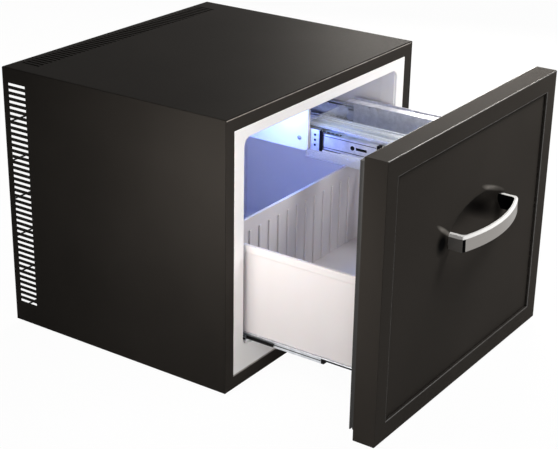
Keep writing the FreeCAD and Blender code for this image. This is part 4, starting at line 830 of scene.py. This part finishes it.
class MINIBAR_OT_slides(bpy.types.Operator):
    """Make the four ball slides, with painted shade in their holes and grooves, the balls in their cages and
    the nylon bumpers
    """
    bl_idname = "minibar.slides"
    bl_label = "Slides"

    def execute(self, context):
        looks = context.scene.minibar_drawer
        zinc, nylon = zinc_plated_steel(), moulded_nylon()
        for side in SIDES:
            for member in ("fixed", "middle", "drawer"):
                node = "%s_%s_member" % (side, member)
                bm = copy_of(node)
                ease(bm, sharp(bm, longer(0.05)), 0.3 * MM)
                # the marks drawn in black nylon are painted shade, all but the fixed member's end stop
                for spot in self.marks(looks, side, member):
                    mark(bm, node, 1 if side.endswith("right") else -1, *spot)
                finish(bm, "%s_%s_channel" % (side, member), [zinc, nylon], node)
            softened(side + "_bumper", side + "_stop", nylon, 0.5 * MM)
            self.balls(looks, side, nylon, zinc)
        return {"FINISHED"}

    def marks(self, looks, side, member):
        """What shows on a member's web: (from its front end, from its middle, length, width, material)."""
        low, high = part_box("%s_%s_member" % (side, member))
        length = high.y - low.y
        centre, whole = length / 2, length - 1 * MM
        if side.startswith("lower"):  # painted shade: a dark groove and a thin line, all the way
            across, width = {"fixed": (-1.5 * MM, 3 * MM), "middle": (0.0, 1.2 * MM),
                             "drawer": (-2.2 * MM, 2.6 * MM)}[member]
            return [(centre, across, whole, width, 1), (centre, across + 4.4 * MM, whole, 1.2 * MM, 1)]
        if member == "fixed":  # three holes of painted shade, and an end stop with a bright line behind it
            holes = [(8 * MM, step * 8.5 * MM, 4.2 * MM, 4.2 * MM, 1) for step in (-1, 0, 1)]
            return holes + [(-3.6 * MM, 0.0, 6.0 * MM, 34 * MM, 1), (0.5 * MM, 0.0, 1.2 * MM, 34 * MM, 0)]
        if member == "middle":  # painted shade in a line along each ball race, a round hole and a slot
            lines = [(centre, turn * looks.race, whole, 1.0 * MM, 1) for turn in (-1, 1)]
            return lines + [(44 * MM, 0.0, 7.6 * MM, 7.6 * MM, 1), (27.5 * MM, 0.0, 20 * MM, 4.4 * MM, 1)]
        return []

    def balls(self, looks, side, nylon, zinc):
        """Four thin strips; on the upper slides, where they show, each has its row of balls."""
        bm = bmesh.new()
        for low, high in islands(copy_of(side + "_ball_cages")):
            thin = 0 if high.x - low.x < high.z - low.z else 2
            middle = (low + high) / 2
            count = int((high.y - low.y) / looks.ball_pitch) if side.startswith("upper") else 0
            for index in range(count):
                place = Vector((middle.x, low.y + (index + 0.5) * looks.ball_pitch, middle.z))
                bmesh.ops.create_uvsphere(bm, u_segments=8, v_segments=5, radius=looks.ball / 2,
                                          matrix=Matrix.Translation(place))
            low[thin], high[thin] = middle[thin] - 0.3 * MM, middle[thin] + 0.3 * MM
            block(bm, low, high, material=1)
        finish(bm, side + "_ball_rows", [zinc, nylon], side + "_ball_cages", angle=60.0)


def mark(bm, node, out, ahead, across, length, width, material):
    """A thin plate on the outer side of a slide member: painted shade in a hole or along a line, or an end
    stop.
    """
    low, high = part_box(node)
    face = high.x if out > 0 else low.x
    at = Vector((face + out * PLATE_LIFT, low.y + ahead, (low.z + high.z) / 2 + across))
    if length == width:
        turn = Matrix.Translation(at) @ Matrix.Rotation(math.pi / 2, 4, "Y")
        paint(rod(bm, width / 2, PLATE, turn), material)
    else:
        half = Vector((PLATE, length, width)) / 2
        block(bm, at - half, at + half, material=material)


class MINIBAR_OT_screws(bpy.types.Operator):
    """Make the screws of the feet, the hanger and the brackets"""
    bl_idname = "minibar.screws"
    bl_label = "Screws"

    def execute(self, context):
        steel = plain_screw_steel()
        screws("foot_screws", "foot_bolts", (0, 0, -1), steel)
        screws("hanger_screws", "hanger_bolts", (-1, 0, 0), steel)
        screws("bracket_screws", "bracket_bolts", (0, 1, 0), steel)
        return {"FINISHED"}


class MINIBAR_OT_cooling(bpy.types.Operator):
    """Make the cooling unit in the vented bay, its wire guard and the mains inlet"""
    bl_idname = "minibar.cooling"
    bl_label = "Cooling unit"

    def execute(self, context):
        pipe, zinc = lacquered_tube(), zinc_plated_steel()
        for node, name in (("condenser_tube", "condenser_pipe"), ("condenser_fins", "condenser_plates"),
                           ("boiler_tube", "boiler_pipe"), ("absorber_vessel", "absorber_tank"),
                           ("absorber_coil", "absorber_bends"), ("rear_guard", "guard_wires")):
            softened(node, name, pipe, 0.3 * MM, longer(0.004))
        softened("evaporator_pipe", "cold_pipe", mill_aluminium(), 0.3 * MM, longer(0.004))
        softened("evaporator_fins", "cold_fins", mill_aluminium(), 0.3 * MM, longer(0.04), 1)
        softened("boiler_jacket", "boiler_cover", zinc, 1.0 * MM, longer(0.05))
        softened("unit_stays", "unit_brackets", zinc, 0.3 * MM, longer(0.01))
        plastic = moulded_abs(linear("#1b1b1c"))
        softened("control_box", "switch_box", plastic, 1.2 * MM, longer(0.04))
        softened("power_inlet", "mains_inlet", plastic, 0.5 * MM, longer(0.015))
        return {"FINISHED"}


class MINIBAR_OT_stage(bpy.types.Operator):
    """Make the floor, the camera, the lamps and the world"""
    bl_idname = "minibar.stage"
    bl_label = "Stage"

    def execute(self, context):
        scene = context.scene
        self.floor(scene)
        self.camera(scene)
        self.lamps(scene)
        self.world(scene)
        scene.view_settings.view_transform = "Standard"
        return {"FINISHED"}

    def floor(self, scene):
        """A wide pale floor that keeps a faint shadow."""
        bm = bmesh.new()
        bmesh.ops.create_grid(bm, x_segments=1, y_segments=1, size=12.0)
        mesh = bpy.data.meshes.new("floor")
        bm.to_mesh(mesh)
        bm.free()
        material, tree, place = start_material("matt_white_floor")
        cloud = speckle(tree, place, 1.5)
        paper = add(tree, "BsdfPrincipled", {"Base Color": tinted(tree, cloud, linear("#f4f4f4"),
                                                                  linear("#f6f6f6")), "Roughness": 0.9})
        glow = add(tree, "Emission", {"Color": (1.0, 1.0, 1.0, 1.0), "Strength": 1.0})
        share = add(tree, "Math", {0: seen(tree), 1: FLOOR_GLOW}, operation="MULTIPLY").outputs[0]
        mixed = add(tree, "MixShader", {0: share, 1: paper.outputs["BSDF"], 2: glow.outputs["Emission"]})
        add(tree, "OutputMaterial", {"Surface": mixed.outputs["Shader"]})
        mesh.materials.append(material)
        floor = bpy.data.objects.new("floor", mesh)
        scene.collection.objects.link(floor)

    def camera(self, scene):
        """A long lens that looks down on the drawer from the left."""
        place = Vector((-1.7487, -1.1702, 1.0637))
        azimuth, elevation, roll = (math.radians(angle) for angle in (-55.893, 23.459, 1.10))
        back = Vector((math.sin(azimuth) * math.cos(elevation), -math.cos(azimuth) * math.cos(elevation),
                       math.sin(elevation)))
        right = Vector((0, 0, 1)).cross(back).normalized()
        up = back.cross(right)
        data = bpy.data.cameras.new("camera")
        data.sensor_width = 36.0
        data.lens = 91.57
        data.shift_x, data.shift_y = -0.0036, 0.0262
        camera = bpy.data.objects.new("camera", data)
        scene.collection.objects.link(camera)
        turned = Matrix((math.cos(roll) * right + math.sin(roll) * up,
                         math.cos(roll) * up - math.sin(roll) * right, back)).transposed()
        camera.matrix_world = Matrix.Translation(place) @ turned.to_4x4()
        scene.camera = camera

    def lamps(self, scene):
        """Soft boxes above, in front and behind, and the cold and blue lamps in the cavity."""
        looks = scene.minibar_case
        for name, place, aim, size, power, colour in LAMPS:
            self.soft_box(scene, name, place, aim, size, size, power, colour)
        low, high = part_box("lamp_lens")
        under = Vector(((low.x + high.x) / 2, (low.y + high.y) / 2, low.z - 1 * MM))
        self.soft_box(scene, "cavity_lamp", under, under - Vector((0, 0, 1)), high.x - low.x, high.y - low.y,
                      looks.lamp_power, looks.lamp[:3])
        self.soft_box(scene, "cavity_glow", (-0.06, 0.06, 0.30), (CAVITY_SIDE, 0.10, 0.22), 0.05, 0.05,
                      looks.lamp_power * 2.5, looks.glow[:3])
        self.soft_box(scene, "hanger_glow", under + Vector((0.02, 0, -0.02)), (0.2, 0.06, 0.2), 0.02, 0.06,
                      looks.lamp_power * 1.2, looks.glow[:3])

    def soft_box(self, scene, name, place, aim, width, height, power, colour):
        """A rectangular lamp that shines from a place towards an aim, and isn't seen itself."""
        data = bpy.data.lights.new(name, "AREA")
        data.shape = "RECTANGLE"
        data.size, data.size_y = width, height
        data.energy = power
        data.color = colour
        lamp = bpy.data.objects.new(name, data)
        scene.collection.objects.link(lamp)
        lamp.visible_camera = False
        turn = (Vector(place) - Vector(aim)).to_track_quat("Z", "Y").to_matrix().to_4x4()
        lamp.matrix_world = Matrix.Translation(place) @ turn

    def world(self, scene):
        """White where it is seen or mirrored, and a plain even light elsewhere."""
        world = bpy.data.worlds.new("studio")
        scene.world = world
        world.use_nodes = True
        tree = world.node_tree
        tree.nodes.clear()
        level = add(tree, "MapRange", {"Value": seen(tree), "To Min": FILL_LIGHT,
                                       "To Max": SEEN_LIGHT}).outputs["Result"]
        light = add(tree, "Background", {"Color": (1.0, 1.0, 1.0, 1.0), "Strength": level})
        add(tree, "OutputWorld", {"Surface": light.outputs["Background"]})


def seen(tree):
    """1 for a ray that the camera, a mirror or clear plastic sees by, and 0 for other light."""
    path = add(tree, "LightPath")
    first = add(tree, "Math", {0: path.outputs["Is Camera Ray"], 1: path.outputs["Is Glossy Ray"]},
                operation="MAXIMUM").outputs[0]
    through = path.outputs["Is Transmission Ray"]
    return add(tree, "Math", {0: first, 1: through}, operation="MAXIMUM").outputs[0]


# ------------------------------------------------------------------- panel
PIECES = (MINIBAR_OT_case, MINIBAR_OT_cavity, MINIBAR_OT_door, MINIBAR_OT_handle, MINIBAR_OT_bin,
          MINIBAR_OT_tray, MINIBAR_OT_slides, MINIBAR_OT_screws, MINIBAR_OT_cooling, MINIBAR_OT_stage)
SETTINGS = {"minibar_case": CaseSettings, "minibar_door": DoorSettings, "minibar_drawer": DrawerSettings}


class MINIBAR_PT_panel(bpy.types.Panel):
    """The sizes and colours, and a button for each group of pieces"""
    bl_idname = "MINIBAR_PT_panel"
    bl_label = "Minibar cabinet"
    bl_space_type = "VIEW_3D"
    bl_region_type = "UI"
    bl_category = "Minibar"

    def draw(self, context):
        for name, group in SETTINGS.items():
            box = self.layout.box()
            for setting in group.__annotations__:
                box.prop(getattr(context.scene, name), setting)
        for piece in PIECES:
            self.layout.operator(piece.bl_idname)


def register():
    """Add the settings, the operators and the panel."""
    for name, group in SETTINGS.items():
        bpy.utils.register_class(group)
        setattr(bpy.types.Scene, name, PointerProperty(type=group))
    for piece in PIECES:
        bpy.utils.register_class(piece)
    bpy.utils.register_class(MINIBAR_PT_panel)


def unregister():
    """Take them away again."""
    bpy.utils.unregister_class(MINIBAR_PT_panel)
    for piece in reversed(PIECES):
        bpy.utils.unregister_class(piece)
    for name, group in SETTINGS.items():
        delattr(bpy.types.Scene, name)
        bpy.utils.unregister_class(group)


def main():
    """Make every piece."""
    register()
    bpy.ops.minibar.case()
    bpy.ops.minibar.cavity()
    bpy.ops.minibar.door()
    bpy.ops.minibar.handle()
    bpy.ops.minibar.bin()
    bpy.ops.minibar.tray()
    bpy.ops.minibar.slides()
    bpy.ops.minibar.screws()
    bpy.ops.minibar.cooling()
    bpy.ops.minibar.stage()


if __name__ == "__main__":
    main()
